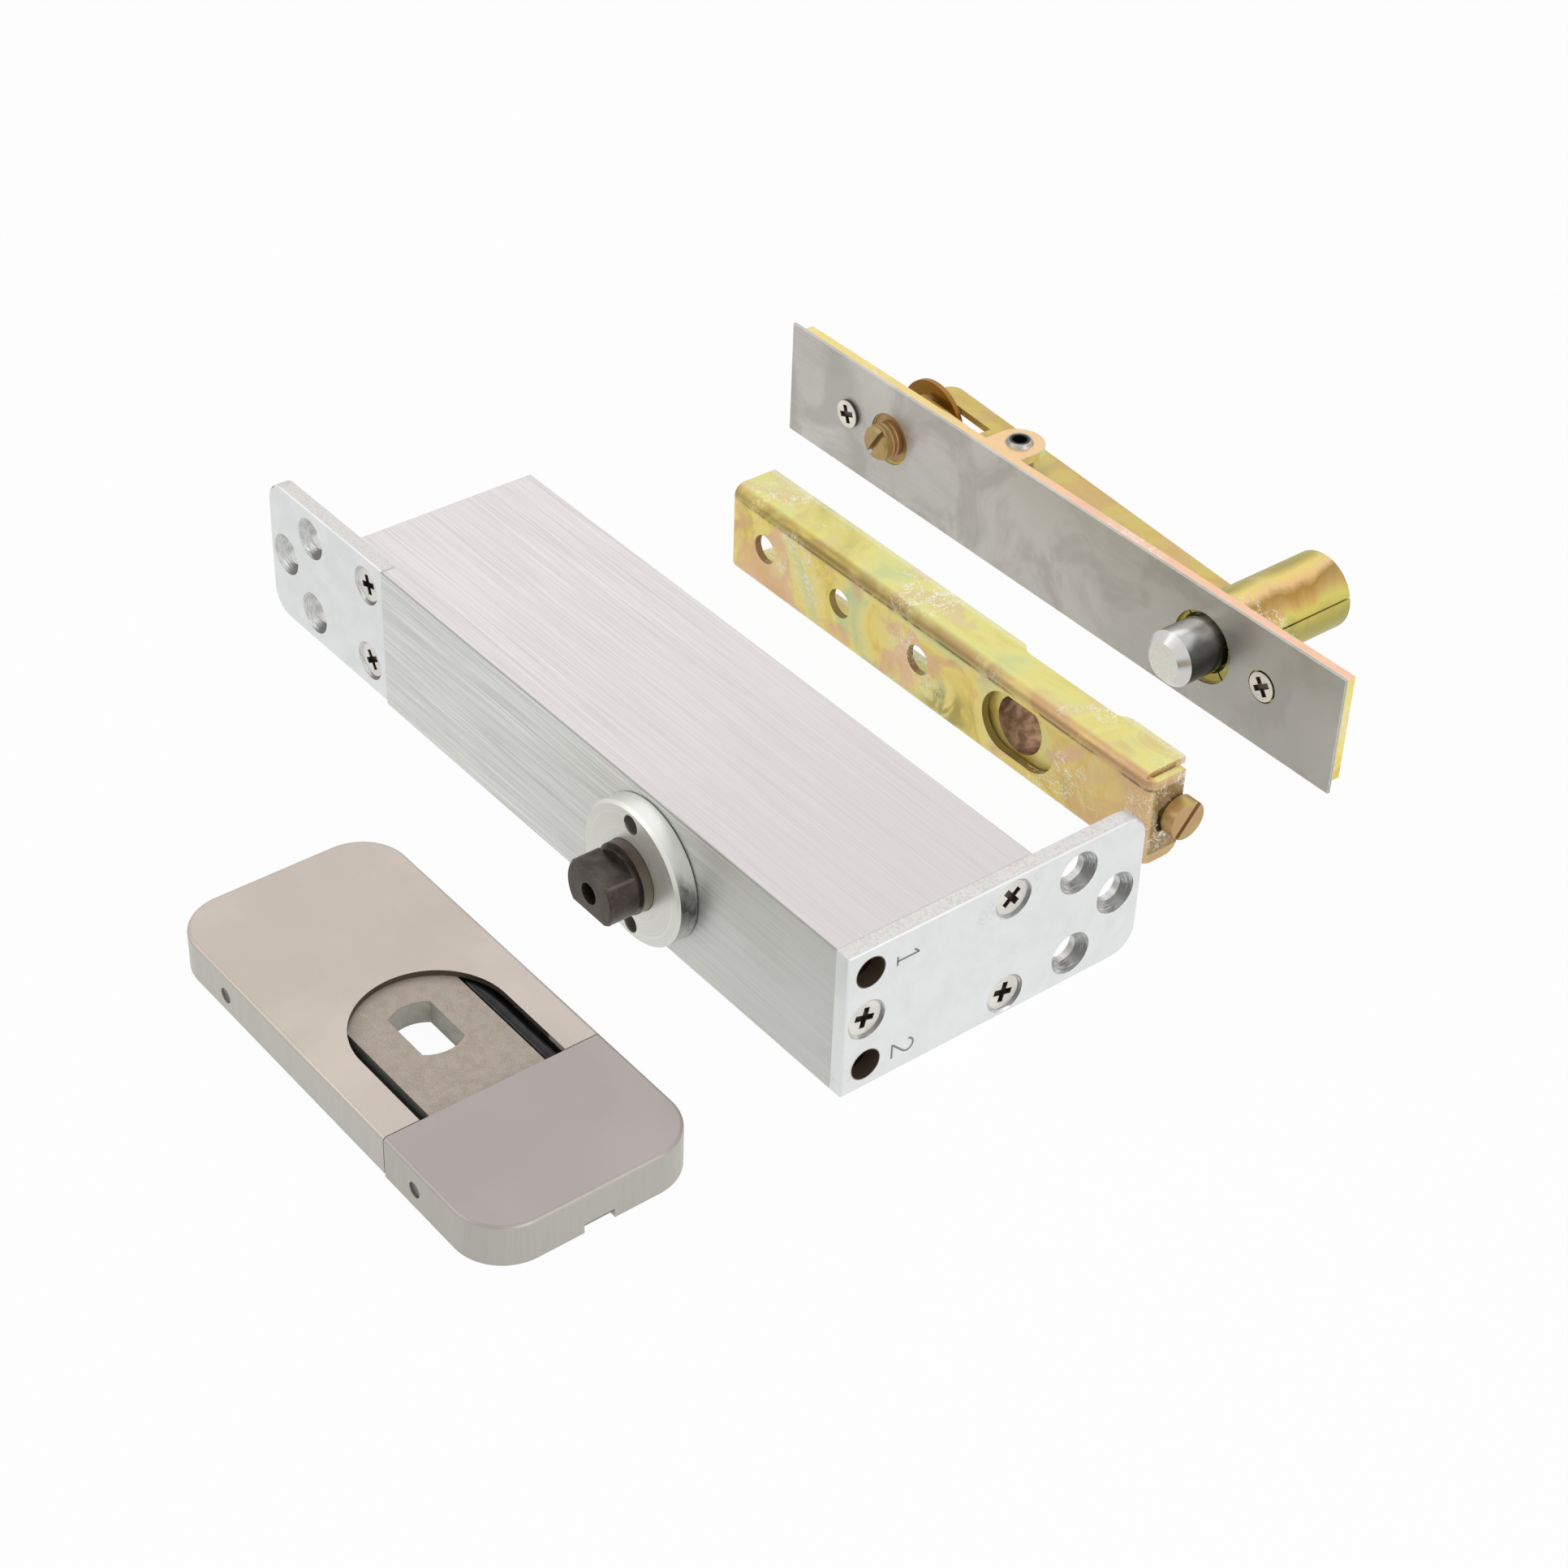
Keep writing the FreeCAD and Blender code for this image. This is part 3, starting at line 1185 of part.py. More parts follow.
def make_socket_slide():
    body = new_body("socket_slide", ("slide_place", "channel_row", "0"))
    tail = f"{LEDGE} + free_gap"
    low = "channel_sheet + free_gap"
    block = sketch_on(body, "XY", "block", low)
    rectangle(block, "-slide_left", "slide_right", low, tail)
    pad(body, block, f"channel_height - 2 * ({low})")
    back = sketch_on(body, "XY", "back", low)
    rectangle(back, "-slide_tail_left", "slide_tail_right", tail, f"{tail} + slide_tail_thick")
    pad(body, back, f"channel_height - 2 * ({low})")
    bore = sketch_on(body, "XZ", "pin_bore")
    circle(bore, "0", CHANNEL_MIDDLE, "slide_bore")
    pocket(body, bore, "channel_depth + slide_tail_thick + cut_past")
    thread = sketch_on(body, "YZ", "thread", "slide_right")
    circle(thread, "adjust_place", CHANNEL_MIDDLE, "adjust_dia + 2 * running_gap")
    pocket(body, thread, "slide_hole_depth")


def make_adjusting_screw():
    tab_inside = "(channel_right - channel_sheet - free_gap)"
    head = "(channel_right + free_gap)"
    face = f"({head} + adjust_head_thick)"
    shank = "adjust_dia / 2"
    profile = [
        ("adjust_tip", "0"),
        ("adjust_tip", shank),
        (f"{tab_inside} - adjust_collar_thick", shank),
        (f"{tab_inside} - adjust_collar_thick", "adjust_collar_dia / 2"),
        (tab_inside, "adjust_collar_dia / 2"),
        (tab_inside, shank),
        (head, shank),
        (head, "adjust_head_dia / 2"),
        (face, "adjust_head_dia / 2"),
        (face, "0"),
    ]
    body = turned("adjusting_screw", "X", profile, ("0", "channel_row + adjust_place", CHANNEL_MIDDLE))
    slot = sketch_on(body, "YZ", "driver_slot", face)
    leaning_bar(slot, "adjust_slot_angle", "-adjust_head_dia", "adjust_head_dia", "adjust_slot_width")
    pocket(body, slot, "adjust_slot_depth")


# Top pivot
PIVOT = ("0", "pivot_row", "0")
FACE_SCREWS = ["-face_screw_left", "face_screw_right"]
FACE_SCREW_SEATS = ["0", "face_thick"]
FACE_SCREW_HOLES = ["face_screw_dia + 2 * seat_gap", "face_screw_head + 2 * free_gap"]
FACE_SCREW_ANGLES = ["left_face_angle", "right_face_angle"]


def make_face_plate():
    body = new_body("face_plate", PIVOT)
    plate = sketch_on(body, "XZ", "plate", "face_thick")
    rectangle(plate, "-face_left", "face_right", "0", "face_height")
    pad(body, plate, "face_thick")
    holes = sketch_on(body, "XZ", "holes")
    circle(holes, "pin_place", "face_hole_height", "face_pin_hole")
    circle(holes, "-drive_place", "face_hole_height", "face_drive_hole")
    for across, diameter in zip(FACE_SCREWS, FACE_SCREW_HOLES):
        circle(holes, across, "face_hole_height", diameter)
    pocket(body, holes, "face_thick + cut_past")


def make_backing_plate():
    body = new_body("backing_plate", PIVOT)
    plate = sketch_on(body, "XZ", "plate", PLATE_BACK)
    rectangle(plate, "-backing_left", "backing_right", "backing_low", "backing_top")
    pad(body, plate, "backing_thick")
    ear = sketch_on(body, "XY", "ear", EAR_LOW)
    left = "-rivet_place - ear_width / 2"
    right = "-rivet_place + ear_width / 2"
    outline(ear, [
        (left, "face_thick"),
        (right, "face_thick"),
        (right, "rivet_back", ("-rivet_place", "rivet_back", 1)),
        (left, "rivet_back"),
    ])
    pad(body, ear, "backing_thick")
    rivet_hole = sketch_on(body, "XY", "rivet_hole", "backing_top")
    circle(rivet_hole, "-rivet_place", "rivet_back", "rivet_dia + 2 * seat_gap")
    pocket(body, rivet_hole, "backing_thick + cut_past")
    holes = sketch_on(body, "XZ", "holes", "face_thick")
    circle(holes, "pin_place", "pivot_height", "tube_dia + 2 * seat_gap")
    circle(holes, "-drive_place", "drive_height", "nut_dia + 2 * seat_gap")
    for across in FACE_SCREWS:
        circle(holes, across, "face_hole_height", "face_screw_dia + 2 * seat_gap")
    pocket(body, holes, "backing_thick + cut_past")


def make_guide_tube():
    axis = ("pin_place", "pivot_row", "pivot_height")
    body = ring("guide_tube", "Y", "face_thick", "tube_end", "tube_dia", TUBE_BORE, axis)
    slot = sketch_on(body, "YZ", "lever_slot")
    reach = "(tongue_width / 2 + groove_play)"
    low = "lever_low - pivot_height - free_gap"
    high = f"{LEVER_TOP} - pivot_height + free_gap"
    front = f"{GROOVE_PLACE} - {reach} - free_gap"
    rectangle(slot, front, f"{GROOVE_PLACE} + pin_travel + {reach}", low, high)
    pocket(body, slot, "tube_dia")
    for angle in ("stake_angle", "(stake_angle + 90)"):
        slit = sketch_on(body, "XZ", "staking_slit", "face_thick")
        leaning_bar(slit, angle, "-tube_dia", "tube_dia", "stake_width")
        pocket(body, slit, "stake_depth")
    seam = sketch_on(body, "XZ", "seam", "face_thick")
    leaning_bar(seam, "tube_seam_angle", "pin_dia / 2", "tube_dia", "tube_seam_width")
    pocket(body, seam, "tube_end")


def make_pivot_pin():
    profile = [
        ("-pin_reach", "0"),
        ("-pin_reach", "pin_dia / 2 - pin_chamfer"),
        ("-pin_reach + pin_chamfer", "pin_dia / 2"),
        ("-pin_neck_start", "pin_dia / 2"),
        ("-pin_neck_start", "pin_neck_dia / 2"),
        ("pin_shoulder", "pin_neck_dia / 2"),
        ("pin_shoulder", "pin_tail_dia / 2"),
        ("pin_tail_end", "pin_tail_dia / 2"),
        ("pin_tail_end", "0"),
    ]
    body = turned("pivot_pin", "Y", profile, ("pin_place", "pivot_row", "pivot_height"))
    groove = sketch_on(body, "YZ", "cross_groove", "pin_tail_dia")
    reach = "(tongue_width / 2 + groove_play)"
    low = "lever_low - pivot_height - free_gap"
    rectangle(groove, f"{GROOVE_PLACE} - {reach}", f"{GROOVE_PLACE} + {reach}", low, "pin_tail_dia")
    pocket(body, groove, "2 * pin_tail_dia")


def make_lever():
    body = new_body("lever", ("-rivet_place", "pivot_row + rivet_back", "lever_low"))
    body.Placement.Rotation = FreeCAD.Rotation(FreeCAD.Vector(0, 0, -1), 1)
    body.setExpression("Placement.Rotation.Angle", formula("lever_rest_angle"))
    strip = sketch_on(body, "XY", "strip")
    tip = f"{PIN_ARM} + tongue_past"
    front = "lever_back - tongue_width"
    fork_end = "-lever_left + fork_depth"
    round_up = "lever_back - lever_corner"
    round_in = "-lever_left + lever_corner"
    outline(strip, [
        ("-lever_left", "0"),
        ("-lever_boss", "0", ("0", "0", 1)),
        ("lever_boss", "0"),
        (f"{tip} - tongue_length", front),
        (tip, front),
        (tip, "lever_back"),
        (round_in, "lever_back", (round_in, round_up, 1)),
        ("-lever_left", round_up),
        ("-lever_left", "fork_back"),
        (fork_end, "fork_back"),
        (fork_end, "fork_front"),
        ("-lever_left", "fork_front"),
    ])
    pad(body, strip, "lever_thick")
    hole = sketch_on(body, "XY", "rivet_hole", "lever_thick")
    circle(hole, "0", "0", "rivet_dia + 2 * running_gap")
    pocket(body, hole, "lever_thick + cut_past")


def make_lever_rivet():
    bore = "rivet_bore / 2"
    shank = "rivet_dia / 2"
    head_low = "lever_low - running_gap - rivet_head_thick"
    head_top = "lever_low - running_gap"
    collar_low = f"{LEVER_TOP} + running_gap"
    ring_top = "backing_top + rivet_head_thick"
    profile = [
        (head_low, bore),
        (head_low, "rivet_head_dia / 2"),
        (head_top, "rivet_head_dia / 2"),
        (head_top, shank),
        (collar_low, shank),
        (collar_low, "rivet_head_dia / 2"),
        (EAR_LOW, "rivet_head_dia / 2"),
        (EAR_LOW, shank),
        ("backing_top", shank),
        ("backing_top", "rivet_ring_dia / 2"),
        (ring_top, "rivet_ring_dia / 2 - rivet_head_thick / 2"),
        (ring_top, bore),
    ]
    turned("lever_rivet", "Z", profile, ("-rivet_place", "pivot_row + rivet_back", "0"))


def make_drive():
    axis = ("-drive_place", "pivot_row", "drive_height")
    neck = "drive_neck_dia / 2"
    neck_end = f"{HUB_BACK} + running_gap"
    end = f"{neck_end} + disc_rivet_thick"
    radius = "drive_screw_dia / 2"
    profile = [
        ("-drive_screw_reach", "0"),
        ("-drive_screw_reach", f"{radius} - drive_screw_chamfer"),
        ("-drive_screw_reach + drive_screw_chamfer", radius),
        (f"{HUB_FRONT} - running_gap", radius),
        (f"{HUB_FRONT} - running_gap", neck),
        (neck_end, neck),
        (neck_end, "disc_rivet_dia / 2"),
        (end, "disc_rivet_dia / 2"),
        (end, "0"),
    ]
    body = turned("drive_screw", "Y", profile, axis)
    slot = sketch_on(body, "XZ", "driver_slot", "-drive_screw_reach")
    leaning_bar(slot, "drive_slot_angle", "-drive_screw_dia", "drive_screw_dia", "drive_slot_width")
    pocket(body, slot, "drive_slot_depth")
    hole = "drive_neck_dia / 2 + running_gap"
    rim_front = f"{DISC_PLACE} - disc_thick / 2"
    rim_back = f"{DISC_PLACE} + disc_thick / 2"
    disc = [
        (HUB_FRONT, hole),
        (HUB_FRONT, "disc_hub_dia / 2"),
        (rim_front, "disc_rim_inner / 2"),
        (rim_front, "disc_dia / 2"),
        (rim_back, "disc_dia / 2"),
        (rim_back, "disc_rim_inner / 2"),
        (HUB_BACK, "disc_hub_dia / 2"),
        (HUB_BACK, hole),
    ]
    turned("drive_disc", "Y", disc, axis)
    bore = "drive_screw_dia + 2 * running_gap"
    ring("drive_nut", "Y", "face_thick", f"{PLATE_BACK} + nut_back", "nut_dia", bore, axis)


def make_face_screws():
    tip = "face_screw_length"
    shank = "face_screw_dia / 2"
    proud = "face_screw_proud"
    profile = [
        ("0", "0"),
        ("0", "face_screw_head / 2"),
        (proud, "face_screw_head / 2"),
        (proud, shank),
        (tip, shank),
        (tip, "0"),
    ]
    for number, across in enumerate(FACE_SCREWS, start=1):
        at = (across, f"pivot_row + {FACE_SCREW_SEATS[number - 1]} - face_screw_proud", "face_hole_height")
        body = turned(f"face_screw_{number}", "Y", profile, at)
        cut_cross(body, "XZ", FACE_SCREW_ANGLES[number - 1], "face_recess_depth")


def check_document():
    """Stop if any object of the document failed or any sub-part is not a sound solid."""
    for item in doc.Objects:
        if "Invalid" in item.State or "Error" in item.State:
            raise RuntimeError(f"{item.Label} failed: {item.State}")
    for piece in pieces:
        shape = piece.Shape
        if shape.isNull() or not shape.isValid() or len(shape.Solids) != 1:
            raise RuntimeError(f"{piece.Label} is not one sound solid")


make_hinge_body()
make_edge_plate()
make_strap_plate()
make_bearing_cap()
make_bearings()
make_spindle()
make_cam()
make_piston()
make_follower()
make_spring()
make_plug()
make_valves()
make_covers()
make_base_plate()
make_socket_block()
make_floor_fixings()
make_channel()
make_socket_slide()
make_adjusting_screw()
make_face_plate()
make_backing_plate()
make_guide_tube()
make_pivot_pin()
make_lever()
make_lever_rivet()
make_drive()
make_face_screws()
doc.recompute()
check_document()
os.makedirs("parts", exist_ok=True)
for piece in pieces:
    piece.Shape.exportStep(f"parts/{piece.Label}.step")
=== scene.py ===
"""Finishes, marks and small details of the concealed door hinge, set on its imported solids."""
import math

import bmesh
import bpy
from mathutils import Matrix, Vector


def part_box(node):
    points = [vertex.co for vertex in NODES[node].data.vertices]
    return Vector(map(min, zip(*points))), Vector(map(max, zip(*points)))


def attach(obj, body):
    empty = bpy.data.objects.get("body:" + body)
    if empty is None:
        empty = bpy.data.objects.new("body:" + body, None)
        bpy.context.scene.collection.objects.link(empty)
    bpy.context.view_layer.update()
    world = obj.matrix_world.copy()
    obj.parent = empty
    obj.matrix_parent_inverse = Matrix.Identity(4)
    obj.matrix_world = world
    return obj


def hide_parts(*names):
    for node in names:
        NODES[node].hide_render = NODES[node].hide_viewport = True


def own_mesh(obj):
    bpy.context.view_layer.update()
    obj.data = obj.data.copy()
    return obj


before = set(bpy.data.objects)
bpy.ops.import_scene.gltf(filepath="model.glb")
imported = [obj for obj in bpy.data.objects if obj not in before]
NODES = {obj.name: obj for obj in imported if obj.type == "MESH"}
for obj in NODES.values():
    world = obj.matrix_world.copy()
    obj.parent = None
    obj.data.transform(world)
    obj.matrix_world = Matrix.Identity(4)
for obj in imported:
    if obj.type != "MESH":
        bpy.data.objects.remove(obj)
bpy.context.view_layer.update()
MM = 0.001

# Places on the hinge, in millimetres
BODY_FRONT = -22.45
BODY_TOP = 32.0
SPINDLE_HEIGHT = 16.0
SPINDLE_CENTRE = (0.0, 0.0, SPINDLE_HEIGHT)
SPINDLE_END = -36.45
SPINDLE_COLLAR = -29.15
SPINDLE_FLAT = 4.3
SPINDLE_CORNER = 5.52
EDGE_FACE = 56.56
VALVE_LINE = -17.22
VALVE_SPREAD = 10.65
VALVE_BORE = 3.15
VALVE_WINDOW = 3.22
CAP_FACE = -27.05
SPANNER_SPREAD = 11.5
SPANNER_HOLE = 2.02
CHANNEL_FRONT = 65.0
CHANNEL_TOP = 21.5
CHANNEL_MIDDLE = 10.75
CHANNEL_DEPTH = 10.85
WINDOW_HALF = 7.6
DARK_PATCH_PLACE = (-17.0, 4.0)
BORE_PLACE = 2.3
PIN_BORE = 6.28
ADJUST_LINE = 72.5
PIVOT_FRONT = 111.9
DRIVE_PLACE = -92.4
DRIVE_HEIGHT = 14.4
RIVET_PLACE = (-58.5, 119.3, 0.0)
RIVET_THROAT = 2.15
RECESS_FLOOR = 2.4


# Shader node helpers
def node(tree, kind, **settings):
    """Add a shader node and set its properties."""
    item = tree.nodes.new(kind)
    for name, setting in settings.items():
        setattr(item, name, setting)
    return item


def feed(tree, socket, source):
    """Link a socket, or set a plain value on it."""
    if isinstance(source, bpy.types.NodeSocket):
        tree.links.new(source, socket)
    else:
        socket.default_value = source


def sums(tree, operation, first, second=0.0):
    """One arithmetic step on values."""
    item = node(tree, "ShaderNodeMath", operation=operation)
    feed(tree, item.inputs[0], first)
    feed(tree, item.inputs[1], second)
    return item.outputs[0]


def times(tree, *values):
    """The product of several masks."""
    result = values[0]
    for value in values[1:]:
        result = sums(tree, "MULTIPLY", result, value)
    return result


def vectors(tree, operation, first, second=(0.0, 0.0, 0.0)):
    """One arithmetic step on vectors."""
    item = node(tree, "ShaderNodeVectorMath", operation=operation)
    feed(tree, item.inputs[0], first)
    feed(tree, item.inputs[1], second)
    return item.outputs["Value" if operation == "LENGTH" else "Vector"]


def joined(tree, across=0.0, deep=0.0, up=0.0):
    """A vector from three values."""
    item = node(tree, "ShaderNodeCombineXYZ")
    for socket, source in zip(item.inputs, (across, deep, up)):
        feed(tree, socket, source)
    return item.outputs[0]


def span(tree, value, low, high, out_low=0.0, out_high=1.0):
    """Spread a value between two limits over an output range."""
    item = node(tree, "ShaderNodeMapRange", clamp=True, interpolation_type="SMOOTHSTEP")
    for socket, source in zip(item.inputs[:5], (value, low, high, out_low, out_high)):
        feed(tree, socket, source)
    return item.outputs[0]


def tinted(source):
    """A colour socket, or a plain colour with its alpha."""
    return source if isinstance(source, bpy.types.NodeSocket) else (*source, 1.0)


def blend(tree, factor, first, second):
    """Mix two colours by a factor."""
    item = node(tree, "ShaderNodeMix", data_type="RGBA", clamp_factor=True)
    feed(tree, item.inputs[0], factor)
    feed(tree, item.inputs[6], tinted(first))
    feed(tree, item.inputs[7], tinted(second))
    return item.outputs[2]


def over(tree, mask, amount, base, colour):
    """Lay a colour over a base by a share of a mask."""
    return blend(tree, sums(tree, "MULTIPLY", mask, amount), base, colour)


def scaled(numbers, share):
    """A plain colour or place with each number multiplied."""
    return tuple(number * share for number in numbers)


def cloud(tree, vector, scale, detail=2.0, roughness=0.5, distortion=0.0):
    """Soft noise at a scale per metre."""
    item = node(tree, "ShaderNodeTexNoise")
    feed(tree, item.inputs["Vector"], vector)
    settings = {"Scale": scale, "Detail": detail, "Roughness": roughness, "Distortion": distortion}
    for name, source in settings.items():
        feed(tree, item.inputs[name], source)
    return item.outputs["Fac"]


def colours(tree, factor, stops):
    """A run of colours along a factor."""
    item = node(tree, "ShaderNodeValToRGB")
    ramp = item.color_ramp
    while len(ramp.elements) < len(stops):
        ramp.elements.new(0.5)
    for element, (place, colour) in zip(ramp.elements, stops):
        element.position = place
        element.color = (*colour, 1.0)
    feed(tree, item.inputs[0], factor)
    return item.outputs[0]


def place_of(tree):
    """Place on the hinge in metres, the same at every pose."""
    return node(tree, "ShaderNodeTexCoord").outputs["Object"]


def parts_of(tree, vector):
    """The X, Y and Z of a vector."""
    item = node(tree, "ShaderNodeSeparateXYZ")
    feed(tree, item.inputs[0], vector)
    return item.outputs


def facing(tree):
    """The X, Y and Z of the way that the surface faces."""
    return parts_of(tree, node(tree, "ShaderNodeNewGeometry").outputs["Normal"])


def off_from(tree, value, middle):
    """How far a value is from a middle place given in millimetres."""
    return sums(tree, "ABSOLUTE", sums(tree, "SUBTRACT", value, middle * MM))


def within(tree, reach, limit, soft):
    """Mask of a reach that is less than a limit, with a soft border, in millimetres."""
    return span(tree, reach, limit * MM, (limit + soft) * MM, 1.0, 0.0)


def near(tree, value, middle, half, soft):
    """Mask of the band within a half width of a middle place, in millimetres."""
    return within(tree, off_from(tree, value, middle), half, soft)


def waver(tree, noise, amount):
    """Noise turned into an offset to either side."""
    return sums(tree, "MULTIPLY", sums(tree, "SUBTRACT", noise, 0.5), amount)


def reach_from(tree, place, centre, axis):
    """Distance from an axis through a centre."""
    away = vectors(tree, "SUBTRACT", place, scaled(centre, MM))
    flat = vectors(tree, "MULTIPLY", away, tuple(0.0 if letter == axis else 1.0 for letter in "XYZ"))
    return vectors(tree, "LENGTH", flat)


def effect(name, inputs, outputs):
    """Start a shared effect with named inputs and outputs."""
    tree = bpy.data.node_groups.new(name, "ShaderNodeTree")
    for label, kind, start in inputs:
        socket = tree.interface.new_socket(label, in_out="INPUT", socket_type=kind)
        socket.default_value = start
    for label, kind in outputs:
        tree.interface.new_socket(label, in_out="OUTPUT", socket_type=kind)
    return tree, node(tree, "NodeGroupInput").outputs, node(tree, "NodeGroupOutput").inputs


def use(tree, group, **values):
    """Place a shared effect in a material with its own values."""
    item = node(tree, "ShaderNodeGroup", node_tree=group)
    for label, source in values.items():
        feed(tree, item.inputs[label.replace("_", " ")], source)
    return item.outputs


FLOAT = "NodeSocketFloat"
VECTOR = "NodeSocketVector"
COLOUR = "NodeSocketColor"


# Shared effects
def make_brushed_lines():
    """Fine lines left by brushing, longest where the stretch is smallest, with broad patches."""
    inputs = [("Stretch", VECTOR, (40.0, 5000.0, 5000.0)), ("Patch Scale", FLOAT, 30.0)]
    outputs = [("Lines", FLOAT), ("Deep Lines", FLOAT), ("Patches", FLOAT)]
    tree, given, out = effect("brushed_lines", inputs, outputs)
    place = place_of(tree)
    drawn = vectors(tree, "MULTIPLY", place, given["Stretch"])
    feed(tree, out["Lines"], cloud(tree, drawn, 1.0, 3.0, 0.65))
    coarse = vectors(tree, "MULTIPLY", drawn, (0.8, 0.55, 0.55))
    feed(tree, out["Deep Lines"], span(tree, cloud(tree, coarse, 1.0, 2.0, 0.5), 0.60, 0.70))
    feed(tree, out["Patches"], cloud(tree, place, given["Patch Scale"], 3.0, 0.55, 0.6))
    return tree


def make_box_edges():
    """Mask along the twelve edges of a box, broken up as rubbed edges are."""
    inputs = [("Low", VECTOR, (0, 0, 0)), ("High", VECTOR, (1, 1, 1)), ("Width", FLOAT, 0.0006)]
    tree, given, out = effect("box_edges", inputs, [("Edge", FLOAT)])
    place = place_of(tree)
    below = vectors(tree, "SUBTRACT", place, given["Low"])
    above = vectors(tree, "SUBTRACT", given["High"], place)
    nearest = parts_of(tree, vectors(tree, "MINIMUM", below, above))
    lesser = sums(tree, "MINIMUM", nearest[0], nearest[1])
    greater = sums(tree, "MAXIMUM", nearest[0], nearest[1])
    middle = sums(tree, "MAXIMUM", lesser, sums(tree, "MINIMUM", greater, nearest[2]))
    uneven = span(tree, cloud(tree, place, 700.0, 3.0, 0.6), 0.3, 0.7, 0.35, 1.2)
    reach = sums(tree, "MULTIPLY", given["Width"], uneven)
    feed(tree, out["Edge"], sums(tree, "SUBTRACT", 1.0, span(tree, middle, 0.0, reach)))
    return tree


def make_fine_grain():
    """Small grain for bump and roughness, with larger soft dents."""
    outputs = [("Grain", FLOAT), ("Dents", FLOAT)]
    tree, given, out = effect("fine_grain", [("Scale", FLOAT, 4000.0)], outputs)
    place = place_of(tree)
    feed(tree, out["Grain"], cloud(tree, place, given["Scale"], 3.0, 0.65))
    feed(tree, out["Dents"], cloud(tree, place, sums(tree, "MULTIPLY", given["Scale"], 0.12), 2.0, 0.5))
    return tree


def make_scuffs():
    """Thin scratches and rubbed spots, gathered in patches."""
    inputs = [("Seed", FLOAT, 0.0), ("Amount", FLOAT, 0.5)]
    tree, given, out = effect("scuffs", inputs, [("Scratches", FLOAT), ("Rubbed", FLOAT)])
    place = vectors(tree, "ADD", place_of(tree), joined(tree, given["Seed"]))
    swirl = cloud(tree, place, 160.0, 4.0, 0.6, 2.2)
    ridge = sums(tree, "ABSOLUTE", sums(tree, "SUBTRACT", swirl, 0.5))
    thin = span(tree, ridge, 0.004, 0.026, 1.0, 0.0)
    where = cloud(tree, place, 45.0, 2.0, 0.5)
    limit = sums(tree, "SUBTRACT", 0.78, sums(tree, "MULTIPLY", given["Amount"], 0.34))
    patch = span(tree, where, limit, sums(tree, "ADD", limit, 0.10))
    broken = span(tree, cloud(tree, place, 900.0, 2.0, 0.6), 0.36, 0.52)
    feed(tree, out["Scratches"], times(tree, thin, patch, broken))
    specks = span(tree, cloud(tree, place, 1900.0, 3.0, 0.7), 0.54, 0.68)
    feed(tree, out["Rubbed"], times(tree, specks, patch))
    return tree


def make_zinc_bloom():
    """Pale gold, green and rose bloom of yellow-passivated zinc."""
    inputs = [("Seed", FLOAT, 0.0), ("Scale", FLOAT, 42.0), ("Rose", FLOAT, 0.5)]
    tree, given, out = effect("zinc_bloom", inputs, [("Colour", COLOUR), ("Cloud", FLOAT)])
    place = vectors(tree, "ADD", place_of(tree), joined(tree, 0.0, given["Seed"]))
    broad = cloud(tree, place, given["Scale"], 4.0, 0.6, 1.1)
    gold = colours(tree, broad, [
        (0.28, (0.42, 0.35, 0.06)),
        (0.38, (0.76, 0.58, 0.12)),
        (0.47, (0.93, 0.77, 0.22)),
        (0.55, (0.88, 0.80, 0.32)),
        (0.64, (0.66, 0.74, 0.38)),
        (0.76, (0.60, 0.72, 0.50)),
    ])
    rosy = cloud(tree, place, sums(tree, "MULTIPLY", given["Scale"], 1.5), 3.0, 0.55, 1.6)
    start = sums(tree, "SUBTRACT", 0.66, sums(tree, "MULTIPLY", given["Rose"], 0.34))
    mask = span(tree, rosy, start, sums(tree, "ADD", start, 0.14))
    rose = colours(tree, cloud(tree, place, 110.0, 2.0), [
        (0.3, (0.76, 0.45, 0.22)),
        (0.7, (0.88, 0.58, 0.40)),
    ])
    feed(tree, out["Colour"], over(tree, mask, 0.85, gold, rose))
    feed(tree, out["Cloud"], broad)
    return tree


BRUSHED = make_brushed_lines()
EDGES = make_box_edges()
GRAIN = make_fine_grain()
SCUFFS = make_scuffs()
BLOOM = make_zinc_bloom()


# Finishes
def finish(name, metallic, roughness):
    """Start a material with its shader, whose plain values are set on its own sockets."""
    material = bpy.data.materials.new(name)
    material.use_nodes = True
    tree = material.node_tree
    shader = tree.nodes["Principled BSDF"]
    shader.inputs["Metallic"].default_value = metallic
    shader.inputs["Roughness"].default_value = roughness
    return material, tree, shader


def painted(tree, shader, base, roughness):
    """Give the shader a colour and a roughness that vary over the surface."""
    feed(tree, shader.inputs["Base Color"], base)
    feed(tree, shader.inputs["Roughness"], roughness)


def bumped(tree, shader, height, strength, depth):
    """Drive the shader's normal from a height, with its depth in millimetres."""
    item = node(tree, "ShaderNodeBump")
    item.inputs["Strength"].default_value = strength
    item.inputs["Distance"].default_value = depth * MM
    feed(tree, item.inputs["Height"], height)
    feed(tree, shader.inputs["Normal"], item.outputs[0])


def edges_of(tree, piece, width):
    """Edge mask of a box-shaped piece, for paler edges that are painted highlight and rubbing together."""
    low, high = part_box(piece)
    return use(tree, EDGES, Low=tuple(low), High=tuple(high), Width=width * MM)["Edge"]


